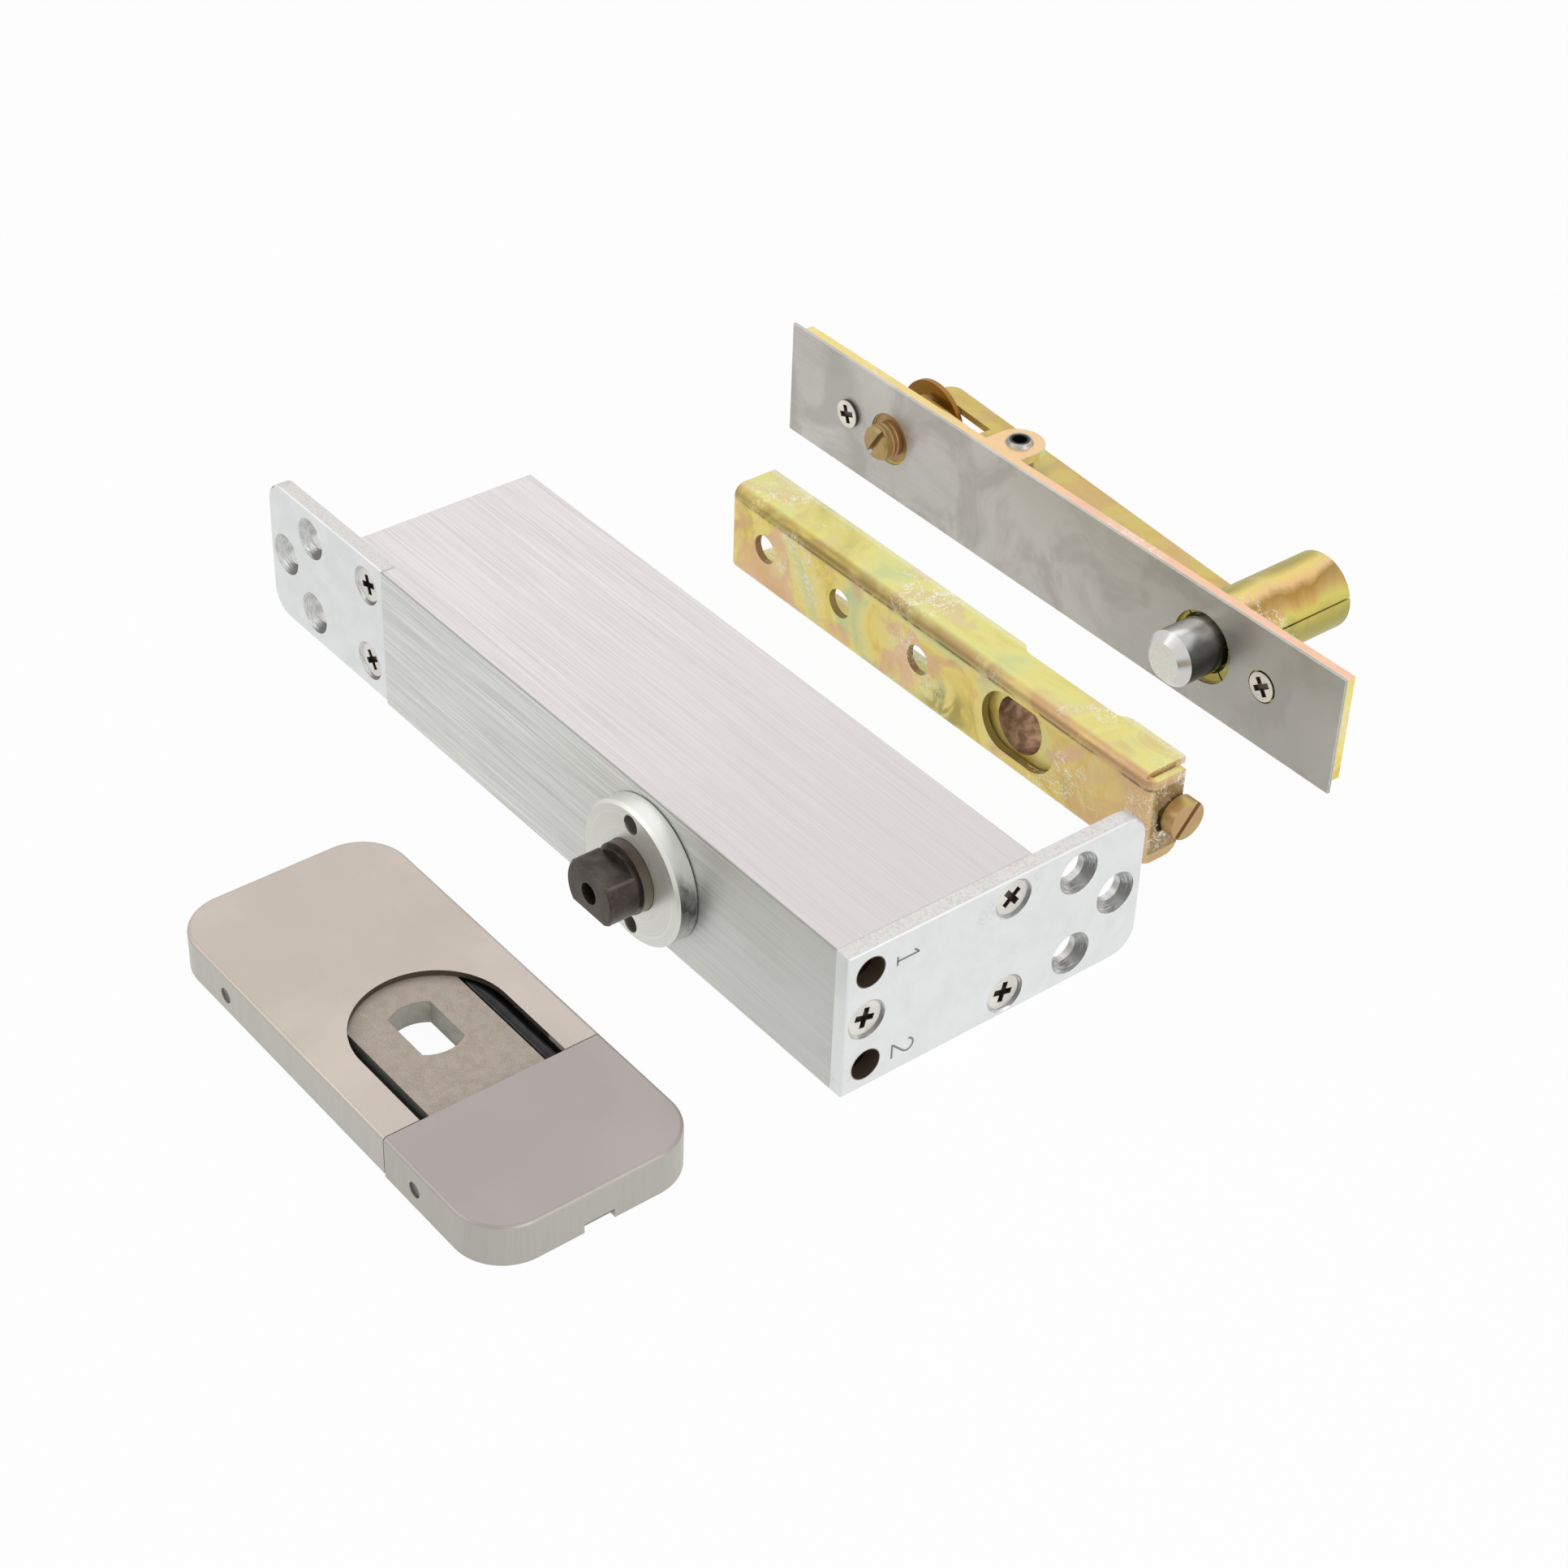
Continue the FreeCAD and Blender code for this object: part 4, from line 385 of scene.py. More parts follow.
def outline_reach(tree, place, piece, axis):
    """Distance inside the outline of a box-shaped piece, looked at along an axis."""
    low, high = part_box(piece)
    below = parts_of(tree, vectors(tree, "SUBTRACT", place, tuple(low)))
    above = parts_of(tree, vectors(tree, "SUBTRACT", tuple(high), place))
    sides = ["XYZ".index(letter) for letter in "XYZ" if letter != axis]
    nearest = [sums(tree, "MINIMUM", below[side], above[side]) for side in sides]
    return sums(tree, "MINIMUM", *nearest)


def valve_reach(tree, place):
    """Distance from the nearer of the two valve axes."""
    _, deep, up = parts_of(tree, place)
    off_level = sums(tree, "SUBTRACT", off_from(tree, up, SPINDLE_HEIGHT), VALVE_SPREAD * MM)
    off_line = sums(tree, "SUBTRACT", deep, VALVE_LINE * MM)
    return vectors(tree, "LENGTH", joined(tree, off_line, off_level))


def sawn_aluminium(name):
    """Extruded aluminium with fine lines along it, greener in front, with painted shade darker to the right
    and painted shade in its valve bores.
    """
    material, tree, shader = finish(name, 0.62, 0.44)
    lines = use(tree, BRUSHED, Stretch=(32.0, 3600.0, 3600.0), Patch_Scale=18.0)
    place = place_of(tree)
    across, deep, up = parts_of(tree, place)
    fine = span(tree, lines["Lines"], 0.30, 0.70)
    top = blend(tree, fine, (0.63, 0.60, 0.595), (0.83, 0.795, 0.79))
    top = over(tree, lines["Deep Lines"], 0.42, top, (0.52, 0.49, 0.49))
    # Painted shade: the top goes darker to the right.
    top = blend(tree, span(tree, across, -90 * MM, 55 * MM, 0.0, 0.55), top, (0.60, 0.57, 0.565))
    front = blend(tree, fine, (0.57, 0.575, 0.545), (0.85, 0.855, 0.825))
    front = over(tree, lines["Deep Lines"], 0.42, front, (0.42, 0.42, 0.40))
    front = blend(tree, span(tree, lines["Patches"], 0.48, 0.66, 0.0, 0.55), front, (0.80, 0.81, 0.79))
    # Painted shade: the front goes darker to the right.
    front = blend(tree, span(tree, across, -40 * MM, 50 * MM, 0.0, 0.55), front, (0.50, 0.505, 0.475))
    way = facing(tree)
    base = blend(tree, span(tree, way[1], -0.8, -0.4, 1.0, 0.0), top, front)
    rim = times(tree, near(tree, deep, BODY_FRONT, 0.15, 0.25), near(tree, up, BODY_TOP, 0.15, 0.25))
    base = over(tree, rim, 0.75, base, (0.34, 0.32, 0.31))
    # Painted shade inside the valve bores; the mask runs the body's whole length, so it also paints two dark
    # spots on its left end.
    bore = within(tree, valve_reach(tree, place), VALVE_BORE, 0.2)
    base = blend(tree, bore, base, (0.075, 0.05, 0.032))
    painted(tree, shader, base, span(tree, lines["Lines"], 0.25, 0.75, 0.36, 0.52))
    bumped(tree, shader, lines["Lines"], 0.12, 0.03)
    return material


def bright_zinc(name, letter, hand, piece):
    """Pale zinc with a speckled upper edge and machined countersinks, each painted dark on one side as
    shade; the end plate has painted brown shade in its windows.
    """
    material, tree, shader = finish(name, 0.60, 0.40)
    grain = use(tree, GRAIN, Scale=1700.0)
    scuffs = use(tree, SCUFFS, Seed=3.0, Amount=0.45)
    place = place_of(tree)
    base = blend(tree, span(tree, grain["Dents"], 0.30, 0.70), (0.775, 0.80, 0.785), (0.825, 0.845, 0.835))
    base = over(tree, scuffs["Rubbed"], 0.35, base, (0.58, 0.58, 0.55))
    base = over(tree, scuffs["Scratches"], 0.55, base, (0.56, 0.56, 0.54))
    way = facing(tree)
    straight = sums(tree, "ABSOLUTE", way["XYZ".index(letter)])
    slant = times(tree, span(tree, straight, 0.30, 0.50), span(tree, straight, 0.90, 0.97, 1.0, 0.0))
    off_outline = span(tree, outline_reach(tree, place, piece, letter), 0.9 * MM, 1.3 * MM)
    slant = times(tree, slant, off_outline)
    turned = vectors(tree, "MULTIPLY", place, tuple(7000.0 if mark == letter else 500.0 for mark in "XYZ"))
    rings = cloud(tree, turned, 1.0, 2.0, 0.6)
    # Painted shade: each countersink goes nearly black on the side that faces one way.
    lean = sums(tree, "SUBTRACT", way[hand], way[2])
    shade_streak = span(tree, sums(tree, "ADD", lean, waver(tree, rings, 1.2)), -0.95, 0.05)
    cone = blend(tree, span(tree, rings, 0.35, 0.65), (0.44, 0.44, 0.43), (0.76, 0.76, 0.74))
    cone = blend(tree, shade_streak, (0.045, 0.04, 0.036), cone)
    base = over(tree, slant, 0.85, base, cone)
    upper = span(tree, way[2], 0.75, 0.95)
    specks = span(tree, grain["Grain"], 0.44, 0.62)
    edge = blend(tree, specks, (0.70, 0.68, 0.665), (0.625, 0.60, 0.585))
    base = blend(tree, upper, base, edge)
    if letter == "X":
        # Painted shade: the valve windows of the end plate are painted dark brown.
        window = within(tree, valve_reach(tree, place), VALVE_WINDOW, 0.2)
        base = blend(tree, window, base, (0.20, 0.15, 0.105))
    painted(tree, shader, base, span(tree, grain["Grain"], 0.3, 0.7, 0.34, 0.48))
    bumped(tree, shader, grain["Dents"], 0.10, 0.05)
    return material


def yellow_zinc(name, seed, rose, shade, amount, scuff=0.4):
    """Yellow-passivated zinc with its bloom and scratches, drawn towards a shade."""
    material, tree, shader = finish(name, 0.60, 0.40)
    bloom = use(tree, BLOOM, Seed=seed, Scale=44.0, Rose=rose)
    scuffs = use(tree, SCUFFS, Seed=seed + 5.0, Amount=scuff)
    grain = use(tree, GRAIN, Scale=5200.0)
    base = blend(tree, amount, bloom["Colour"], shade)
    base = blend(tree, span(tree, grain["Grain"], 0.3, 0.7, 0.0, 0.12), base, (0.46, 0.38, 0.14))
    base = over(tree, scuffs["Rubbed"], 0.6, base, (0.82, 0.82, 0.76))
    base = over(tree, scuffs["Scratches"], 0.8, base, (0.90, 0.89, 0.84))
    painted(tree, shader, base, span(tree, bloom["Cloud"], 0.35, 0.65, 0.32, 0.48))
    bumped(tree, shader, grain["Dents"], 0.10, 0.05)
    return material


def channel_zinc(name):
    """The channel's zinc: a paler top face with a painted sheen, brown along its bend with a thin painted
    shade line in the fold, painted shade on the walls of its openings and its inner faces, a dark patch low
    on the web, rosy towards the tab.
    """
    material, tree, shader = finish(name, 0.55, 0.42)
    bloom = use(tree, BLOOM, Seed=1.35, Scale=40.0, Rose=0.50)
    scuffs = use(tree, SCUFFS, Seed=6.0, Amount=0.75)
    grain = use(tree, GRAIN, Scale=5200.0)
    place = place_of(tree)
    across, deep, up = parts_of(tree, place)
    way = facing(tree)
    uneven = cloud(tree, place, 120.0, 3.0, 0.6, 0.8)
    wandering = sums(tree, "ADD", across, sums(tree, "MULTIPLY", uneven, 50 * MM))
    to_tab = span(tree, wandering, 28 * MM, 62 * MM)
    web = over(tree, to_tab, 0.72, bloom["Colour"], (0.70, 0.42, 0.23))
    # Painted sheen: the top face is paler and greener than the web.
    top = blend(tree, 0.50, bloom["Colour"], (0.66, 0.68, 0.26))
    base = blend(tree, span(tree, way[2], 0.80, 0.95), web, top)
    bend_up = span(tree, up, (CHANNEL_TOP - 4.2) * MM, (CHANNEL_TOP - 1.6) * MM)
    bend_deep = span(tree, deep, (CHANNEL_FRONT + 0.4) * MM, (CHANNEL_FRONT + 2.2) * MM, 1.0, 0.0)
    bend = times(tree, bend_up, bend_deep, span(tree, uneven, 0.30, 0.55, 0.55, 0.95))
    brown = blend(tree, span(tree, across, -60 * MM, 40 * MM), (0.36, 0.25, 0.065), (0.60, 0.36, 0.19))
    base = blend(tree, bend, base, brown)
    # Painted shade: a thin dark line along the fold of the bend.
    fold = near(tree, up, CHANNEL_TOP - 3.0, 0.12, 0.35)
    line = times(tree, fold, bend_deep, span(tree, uneven, 0.38, 0.56))
    base = over(tree, line, 0.8, base, (0.14, 0.085, 0.03))
    # Painted shade on the walls of the openings, within the band of the window.
    sideways = span(tree, sums(tree, "ABSOLUTE", way[1]), 0.3, 0.6, 1.0, 0.0)
    cut = times(tree, sideways, near(tree, up, CHANNEL_MIDDLE, WINDOW_HALF, 0.3))
    base = over(tree, cut, 0.8, base, (0.24, 0.14, 0.05))
    # Painted shade on the channel's inner faces, behind its front.
    inner = span(tree, deep, (CHANNEL_FRONT + 1.2) * MM, (CHANNEL_FRONT + 1.9) * MM)
    inner_shade = times(tree, inner, within(tree, up, CHANNEL_TOP - 2.1, 0.5))
    base = over(tree, inner_shade, 0.25, base, (0.40, 0.30, 0.12))
    # A dark olive patch low on the web, below a hole.
    dark_patch_across = near(tree, across, DARK_PATCH_PLACE[0], 3.0, 9.0)
    dark_patch_up = near(tree, up, DARK_PATCH_PLACE[1], 2.0, 6.0)
    dark_patch = times(tree, dark_patch_across, dark_patch_up, span(tree, uneven, 0.40, 0.58))
    base = over(tree, dark_patch, 0.7, base, (0.30, 0.24, 0.05))
    base = blend(tree, span(tree, grain["Grain"], 0.3, 0.7, 0.0, 0.12), base, (0.50, 0.42, 0.18))
    base = over(tree, scuffs["Rubbed"], 0.65, base, (0.86, 0.86, 0.80))
    base = over(tree, scuffs["Scratches"], 0.85, base, (0.92, 0.91, 0.87))
    rear_edge = near(tree, deep, CHANNEL_FRONT + CHANNEL_DEPTH, 0.9, 0.8)
    rear = times(tree, rear_edge, span(tree, grain["Grain"], 0.45, 0.60))
    base = over(tree, rear, 0.7, base, (0.88, 0.88, 0.82))
    painted(tree, shader, base, span(tree, bloom["Cloud"], 0.35, 0.65, 0.36, 0.52))
    bumped(tree, shader, grain["Dents"], 0.12, 0.06)
    return material


def slide_zinc(name):
    """The socket block's zinc, with painted brown shade inside the bore for the pin."""
    material, tree, shader = finish(name, 0.60, 0.36)
    bloom = use(tree, BLOOM, Seed=2.3, Scale=60.0, Rose=0.45)
    grain = use(tree, GRAIN, Scale=4000.0)
    place = place_of(tree)
    reach = reach_from(tree, place, (BORE_PLACE, 0.0, CHANNEL_MIDDLE), "Y")
    # Painted shade: the bore for the pin is painted dark brown.
    inside = within(tree, reach, PIN_BORE, 0.17)
    brown = blend(tree, span(tree, grain["Dents"], 0.35, 0.65), (0.20, 0.11, 0.055), (0.46, 0.27, 0.16))
    base = blend(tree, inside, blend(tree, 0.30, bloom["Colour"], (0.48, 0.44, 0.18)), brown)
    painted(tree, shader, base, span(tree, grain["Grain"], 0.3, 0.7, 0.30, 0.44))
    bumped(tree, shader, grain["Grain"], 0.12, 0.04)
    return material


def tube_zinc(name):
    """The guide tube's zinc, in bands of colour set by the angle round it, with a little bloom."""
    material, tree, shader = finish(name, 0.58, 0.38)
    bloom = use(tree, BLOOM, Seed=5.9, Scale=60.0, Rose=0.55)
    scuffs = use(tree, SCUFFS, Seed=11.0, Amount=0.6)
    grain = use(tree, GRAIN, Scale=5200.0)
    low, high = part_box("pivot_pin")
    middle = tuple((a + b) / 2 for a, b in zip(low, high))
    away = parts_of(tree, vectors(tree, "SUBTRACT", place_of(tree), middle))
    turn = sums(tree, "ARCTAN2", away[0], away[2])
    wandering = sums(tree, "ADD", turn, waver(tree, bloom["Cloud"], 1.1))
    bands = colours(tree, span(tree, wandering, -1.4, 2.4), [
        (0.20, (0.38, 0.32, 0.04)),
        (0.33, (0.76, 0.60, 0.17)),
        (0.44, (0.80, 0.50, 0.24)),
        (0.53, (0.36, 0.17, 0.012)),
        (0.64, (0.56, 0.31, 0.09)),
        (0.74, (0.66, 0.58, 0.11)),
        (0.90, (0.36, 0.32, 0.05)),
    ])
    base = blend(tree, 0.14, bands, bloom["Colour"])
    base = over(tree, scuffs["Rubbed"], 0.6, base, (0.88, 0.88, 0.80))
    base = over(tree, scuffs["Scratches"], 0.8, base, (0.92, 0.90, 0.86))
    painted(tree, shader, base, span(tree, grain["Grain"], 0.3, 0.7, 0.32, 0.46))
    bumped(tree, shader, grain["Dents"], 0.10, 0.05)
    return material


def backing_zinc(name):
    """The backing plate's zinc, rosy along its upper edge with white scratches."""
    material, tree, shader = finish(name, 0.58, 0.40)
    bloom = use(tree, BLOOM, Seed=4.7, Scale=40.0, Rose=0.40)
    scuffs = use(tree, SCUFFS, Seed=8.0, Amount=0.75)
    grain = use(tree, GRAIN, Scale=5200.0)
    across, _, _ = parts_of(tree, place_of(tree))
    way = facing(tree)
    edge = colours(tree, span(tree, across, -130 * MM, 50 * MM), [
        (0.05, (0.88, 0.70, 0.24)),
        (0.30, (0.90, 0.62, 0.34)),
        (0.55, (0.92, 0.56, 0.42)),
        (0.95, (0.90, 0.54, 0.42)),
    ])
    base = over(tree, span(tree, way[2], 0.75, 0.95), 0.85, bloom["Colour"], edge)
    base = over(tree, scuffs["Rubbed"], 0.6, base, (0.88, 0.86, 0.80))
    base = over(tree, scuffs["Scratches"], 0.8, base, (0.94, 0.92, 0.88))
    painted(tree, shader, base, span(tree, bloom["Cloud"], 0.35, 0.65, 0.34, 0.50))
    bumped(tree, shader, grain["Dents"], 0.10, 0.05)
    return material


def satin_cover(name, piece, tint, shade, wall):
    """Satin-plated pressed cover: warm on top, greener walls, a painted brown shade line between, painted
    shade in a dark opening.
    """
    material, tree, shader = finish(name, 0.50, 0.42)
    grain = use(tree, GRAIN, Scale=6000.0)
    lines = use(tree, BRUSHED, Stretch=(500.0, 1600.0, 60.0), Patch_Scale=22.0)
    base = blend(tree, span(tree, lines["Patches"], 0.35, 0.65), shade, tint)
    steep = span(tree, sums(tree, "ABSOLUTE", facing(tree)[2]), 0.25, 0.75, 1.0, 0.0)
    streaked = blend(tree, span(tree, lines["Lines"], 0.30, 0.70), scaled(wall, 0.95), wall)
    # Painted shade: the walls of the opening are painted nearly black.
    inside = span(tree, outline_reach(tree, place_of(tree), piece, "Z"), 4.6 * MM, 5.4 * MM)
    streaked = blend(tree, inside, streaked, (0.075, 0.056, 0.042))
    base = blend(tree, steep, base, streaked)
    # Painted shade: a brown line on the rounding between the top and the walls.
    rounded_edge_shade = times(tree, steep, sums(tree, "SUBTRACT", 1.0, steep))
    base = over(tree, rounded_edge_shade, 1.8, base, (0.40, 0.34, 0.27))
    base = blend(tree, span(tree, grain["Grain"], 0.3, 0.7, 0.0, 0.10), base, (0.40, 0.38, 0.34))
    painted(tree, shader, base, span(tree, grain["Grain"], 0.3, 0.7, 0.36, 0.48))
    bumped(tree, shader, grain["Grain"], 0.10, 0.03)
    return material


def sintered(name):
    """Sintered iron block with an open sandy grain."""
    material, tree, shader = finish(name, 0.35, 0.62)
    coarse = use(tree, GRAIN, Scale=4200.0)
    base = blend(tree, span(tree, coarse["Grain"], 0.35, 0.66), (0.42, 0.35, 0.29), (0.56, 0.485, 0.42))
    specks = span(tree, coarse["Grain"], 0.64, 0.70)
    base = over(tree, specks, 0.35, base, (0.66, 0.62, 0.57))
    upright = span(tree, sums(tree, "ABSOLUTE", facing(tree)[2]), 0.3, 0.8, 0.60, 0.0)
    base = blend(tree, upright, base, (0.38, 0.43, 0.37))
    painted(tree, shader, base, span(tree, coarse["Dents"], 0.35, 0.65, 0.52, 0.70))
    bumped(tree, shader, coarse["Grain"], 0.45, 0.12)
    return material


def black_oxide(name, tint, shine):
    """Black-oxide steel with a brown cast and worn, slightly shiny spots."""
    material, tree, shader = finish(name, 0.55, shine)
    grain = use(tree, GRAIN, Scale=3200.0)
    scuffs = use(tree, SCUFFS, Seed=9.0, Amount=0.5)
    base = blend(tree, span(tree, grain["Dents"], 0.35, 0.65), tint, scaled(tint, 1.9))
    base = over(tree, scuffs["Rubbed"], 0.25, base, (0.22, 0.20, 0.18))
    painted(tree, shader, base, span(tree, grain["Grain"], 0.3, 0.7, shine - 0.06, shine + 0.08))
    bumped(tree, shader, grain["Grain"], 0.15, 0.04)
    return material


def spindle_oxide(name):
    """The spindle's brown-black oxide, worn paler along its corners and bronze at its collar."""
    material, tree, shader = finish(name, 0.55, 0.36)
    grain = use(tree, GRAIN, Scale=2600.0)
    place = place_of(tree)
    across, deep, up = parts_of(tree, place)
    base = blend(tree, span(tree, grain["Dents"], 0.35, 0.65), (0.036, 0.029, 0.024), (0.072, 0.058, 0.048))
    level = sums(tree, "SUBTRACT", off_from(tree, up, SPINDLE_HEIGHT), SPINDLE_FLAT * MM)
    side = sums(tree, "SUBTRACT", sums(tree, "ABSOLUTE", across), SPINDLE_CORNER * MM)
    corner = vectors(tree, "LENGTH", joined(tree, side, level))
    drive = span(tree, deep, (SPINDLE_COLLAR - 1.2) * MM, (SPINDLE_COLLAR - 1.0) * MM, 1.0, 0.0)
    worn = times(tree, within(tree, corner, 0.15, 0.4), drive)
    end_rim = near(tree, deep, SPINDLE_END + 0.3, 0.25, 0.3)
    rim = times(tree, end_rim, span(tree, grain["Grain"], 0.40, 0.60))
    worn = sums(tree, "MAXIMUM", worn, sums(tree, "MULTIPLY", rim, 0.5))
    base = over(tree, worn, 0.45, base, (0.20, 0.155, 0.125))
    specks = times(tree, span(tree, grain["Grain"], 0.60, 0.70), drive)
    base = over(tree, specks, 0.30, base, (0.30, 0.20, 0.13))
    collar = span(tree, deep, (SPINDLE_COLLAR - 0.1) * MM, (SPINDLE_COLLAR + 0.1) * MM)
    bronze = blend(tree, span(tree, up, 10 * MM, 22 * MM), (0.34, 0.30, 0.22), (0.115, 0.088, 0.07))
    base = over(tree, collar, 0.85, base, bronze)
    painted(tree, shader, base, span(tree, grain["Grain"], 0.3, 0.7, 0.30, 0.46))
    bumped(tree, shader, grain["Grain"], 0.15, 0.04)
    return material


def turned_metal(name, axis, centre, tint, dark, roughness, rings=4200.0):
    """Metal with the fine rings of a lathe round an axis."""
    material, tree, shader = finish(name, 0.70, roughness)
    reach = reach_from(tree, place_of(tree), centre, axis)
    turns = cloud(tree, joined(tree, sums(tree, "MULTIPLY", reach, rings)), 1.0, 2.0, 0.6)
    grain = use(tree, GRAIN, Scale=3000.0)
    base = blend(tree, span(tree, turns, 0.32, 0.68), dark, tint)
    base = blend(tree, span(tree, grain["Dents"], 0.45, 0.70, 0.0, 0.25), base, dark)
    painted(tree, shader, base, span(tree, turns, 0.3, 0.7, roughness - 0.07, roughness + 0.08))
    bumped(tree, shader, turns, 0.30, 0.05)
    return material


def cap_aluminium(name):
    """The cap's aluminium: lathe rings, a streaked flange painted light and dark as a reflection, painted
    shade in the gap behind it and in the spanner holes.
    """
    material, tree, shader = finish(name, 0.66, 0.38)
    place = place_of(tree)
    across, deep, up = parts_of(tree, place)
    reach = reach_from(tree, place, SPINDLE_CENTRE, "Y")
    turns = cloud(tree, joined(tree, sums(tree, "MULTIPLY", reach, 5200.0)), 1.0, 3.0, 0.6)
    wide = cloud(tree, joined(tree, sums(tree, "MULTIPLY", reach, 900.0)), 1.0, 1.0, 0.5)
    base = blend(tree, span(tree, turns, 0.32, 0.68), (0.68, 0.685, 0.63), (0.83, 0.835, 0.78))
    base = blend(tree, span(tree, wide, 0.45, 0.62, 0.0, 0.35), base, (0.86, 0.865, 0.82))
    way = facing(tree)
    side = span(tree, way[1], -0.75, -0.35)
    # Painted reflection: the flange's side goes light and dark by the way it faces.
    turn = sums(tree, "ARCTAN2", way[0], way[2])
    streaks = cloud(tree, joined(tree, turn, sums(tree, "MULTIPLY", deep, 150.0)), 2.2, 4.0, 0.6, 0.6)
    wandering = sums(tree, "ADD", turn, waver(tree, streaks, 0.9))
    flange = colours(tree, span(tree, wandering, 0.0, 3.0), [
        (0.10, (0.78, 0.78, 0.75)),
        (0.30, (0.66, 0.66, 0.63)),
        (0.42, (0.26, 0.26, 0.245)),
        (0.54, (0.075, 0.075, 0.07)),
        (0.66, (0.34, 0.345, 0.33)),
        (0.78, (0.62, 0.625, 0.60)),
    ])
    # Painted shade in the gap between the cap and the body.
    gap_shade = near(tree, deep, BODY_FRONT, 0.16, 0.12)
    flange = over(tree, gap_shade, 0.9, flange, (0.035, 0.033, 0.03))
    base = blend(tree, side, base, flange)
    # Painted shade: the spanner holes are painted grey.
    level = sums(tree, "SUBTRACT", off_from(tree, up, SPINDLE_HEIGHT), SPANNER_SPREAD * MM)
    to_hole = vectors(tree, "LENGTH", joined(tree, across, level))
    sunk = span(tree, deep, (CAP_FACE + 0.05) * MM, (CAP_FACE + 0.6) * MM)
    hole = times(tree, within(tree, to_hole, SPANNER_HOLE, 0.08), sunk)
    base = blend(tree, hole, base, (0.36, 0.34, 0.30))
    painted(tree, shader, base, span(tree, turns, 0.3, 0.7, 0.31, 0.46))
    bumped(tree, shader, turns, 0.22, 0.04)
    return material


def pin_steel(name):
    """The pin's steel: frosted end, bright chamfer, and sides painted in light and dark bands by the way
    they face, a painted reflection.
    """
    material, tree, shader = finish(name, 0.70, 0.34)
    grain = use(tree, GRAIN, Scale=3600.0)
    way = facing(tree)
    # Painted reflection: the sides are painted in light and dark bands by the way they face.
    turn = sums(tree, "ARCTAN2", way[0], way[2])
    wandering = sums(tree, "ADD", turn, waver(tree, cloud(tree, place_of(tree), 200.0), 0.5))
    side = colours(tree, span(tree, wandering, -3.0, 3.0), [
        (0.34, (0.22, 0.22, 0.215)),
        (0.42, (0.66, 0.66, 0.64)),
        (0.50, (0.78, 0.78, 0.76)),
        (0.56, (0.42, 0.42, 0.41)),
        (0.62, (0.58, 0.58, 0.56)),
        (0.70, (0.20, 0.20, 0.195)),
        (0.82, (0.055, 0.055, 0.052)),
    ])
    fore = sums(tree, "MULTIPLY", way[1], -1.0)
    base = blend(tree, span(tree, fore, 0.20, 0.45), side, (0.66, 0.66, 0.64))
    frost = blend(tree, span(tree, grain["Grain"], 0.35, 0.65), (0.80, 0.81, 0.78), (0.95, 0.96, 0.93))
    end = span(tree, fore, 0.86, 0.96)
    base = blend(tree, end, base, frost)
    painted(tree, shader, base, sums(tree, "ADD", 0.22, sums(tree, "MULTIPLY", end, 0.34)))
    bumped(tree, shader, sums(tree, "MULTIPLY", grain["Grain"], end), 0.25, 0.06)
    return material


def recessed_screw(name, letter, piece, inward, tint):
    """Nickel screw with painted shade in its recess below its head, whose tail stays bright."""
    material, tree, shader = finish(name, 0.65, 0.36)
    grain = use(tree, GRAIN, Scale=2600.0)
    low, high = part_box(piece)
    number = "XYZ".index(letter)
    head = low[number] if inward > 0 else high[number]
    along = parts_of(tree, place_of(tree))[number]
    depth = sums(tree, "MULTIPLY", sums(tree, "SUBTRACT", along, head), inward)
    base = blend(tree, span(tree, grain["Dents"], 0.35, 0.65), scaled(tint, 0.86), tint)
    tail = span(tree, depth, RECESS_FLOOR * MM, (RECESS_FLOOR + 0.4) * MM, 0.94, 0.0)
    # Painted shade: the recess below the head is painted nearly black.
    recess = times(tree, span(tree, depth, 0.03 * MM, 0.25 * MM), tail)
    base = blend(tree, recess, base, (0.045, 0.026, 0.018))
    painted(tree, shader, base, span(tree, grain["Grain"], 0.3, 0.7, 0.30, 0.44))
    bumped(tree, shader, grain["Dents"], 0.10, 0.05)
    return material


def brushed_steel(name, piece):
    """Satin stainless with soft lines along it, clouded, with painted shade darker to the right and painted
    highlight on its edges.
    """
    material, tree, shader = finish(name, 0.62, 0.42)
    lines = use(tree, BRUSHED, Stretch=(60.0, 3000.0, 3000.0), Patch_Scale=26.0)
    place = place_of(tree)
    across, _, _ = parts_of(tree, place)
    base = blend(tree, span(tree, lines["Lines"], 0.28, 0.72), (0.51, 0.495, 0.455), (0.58, 0.565, 0.52))
    base = over(tree, lines["Deep Lines"], 0.10, base, (0.34, 0.325, 0.29))
    base = blend(tree, span(tree, lines["Patches"], 0.42, 0.60, 0.0, 0.55), base, (0.66, 0.64, 0.60))
    blotch = cloud(tree, place, 48.0, 4.0, 0.6, 0.9)
    base = blend(tree, span(tree, blotch, 0.36, 0.52, 0.50, 0.0), base, (0.36, 0.345, 0.31))
    # Painted shade: the plate goes darker to the right.
    drift = sums(tree, "MULTIPLY", cloud(tree, place, 30.0, 2.0), 60 * MM)
    toward = span(tree, sums(tree, "ADD", across, drift), -30 * MM, 75 * MM, 0.0, 0.55)
    base = blend(tree, toward, base, (0.36, 0.345, 0.30))
    # Painted highlight with rubbing: paler along the plate's edges.
    base = over(tree, edges_of(tree, piece, 0.30), 0.6, base, (0.74, 0.72, 0.69))
    painted(tree, shader, base, span(tree, lines["Lines"], 0.3, 0.7, 0.34, 0.48))
    bumped(tree, shader, lines["Lines"], 0.10, 0.03)
    return material


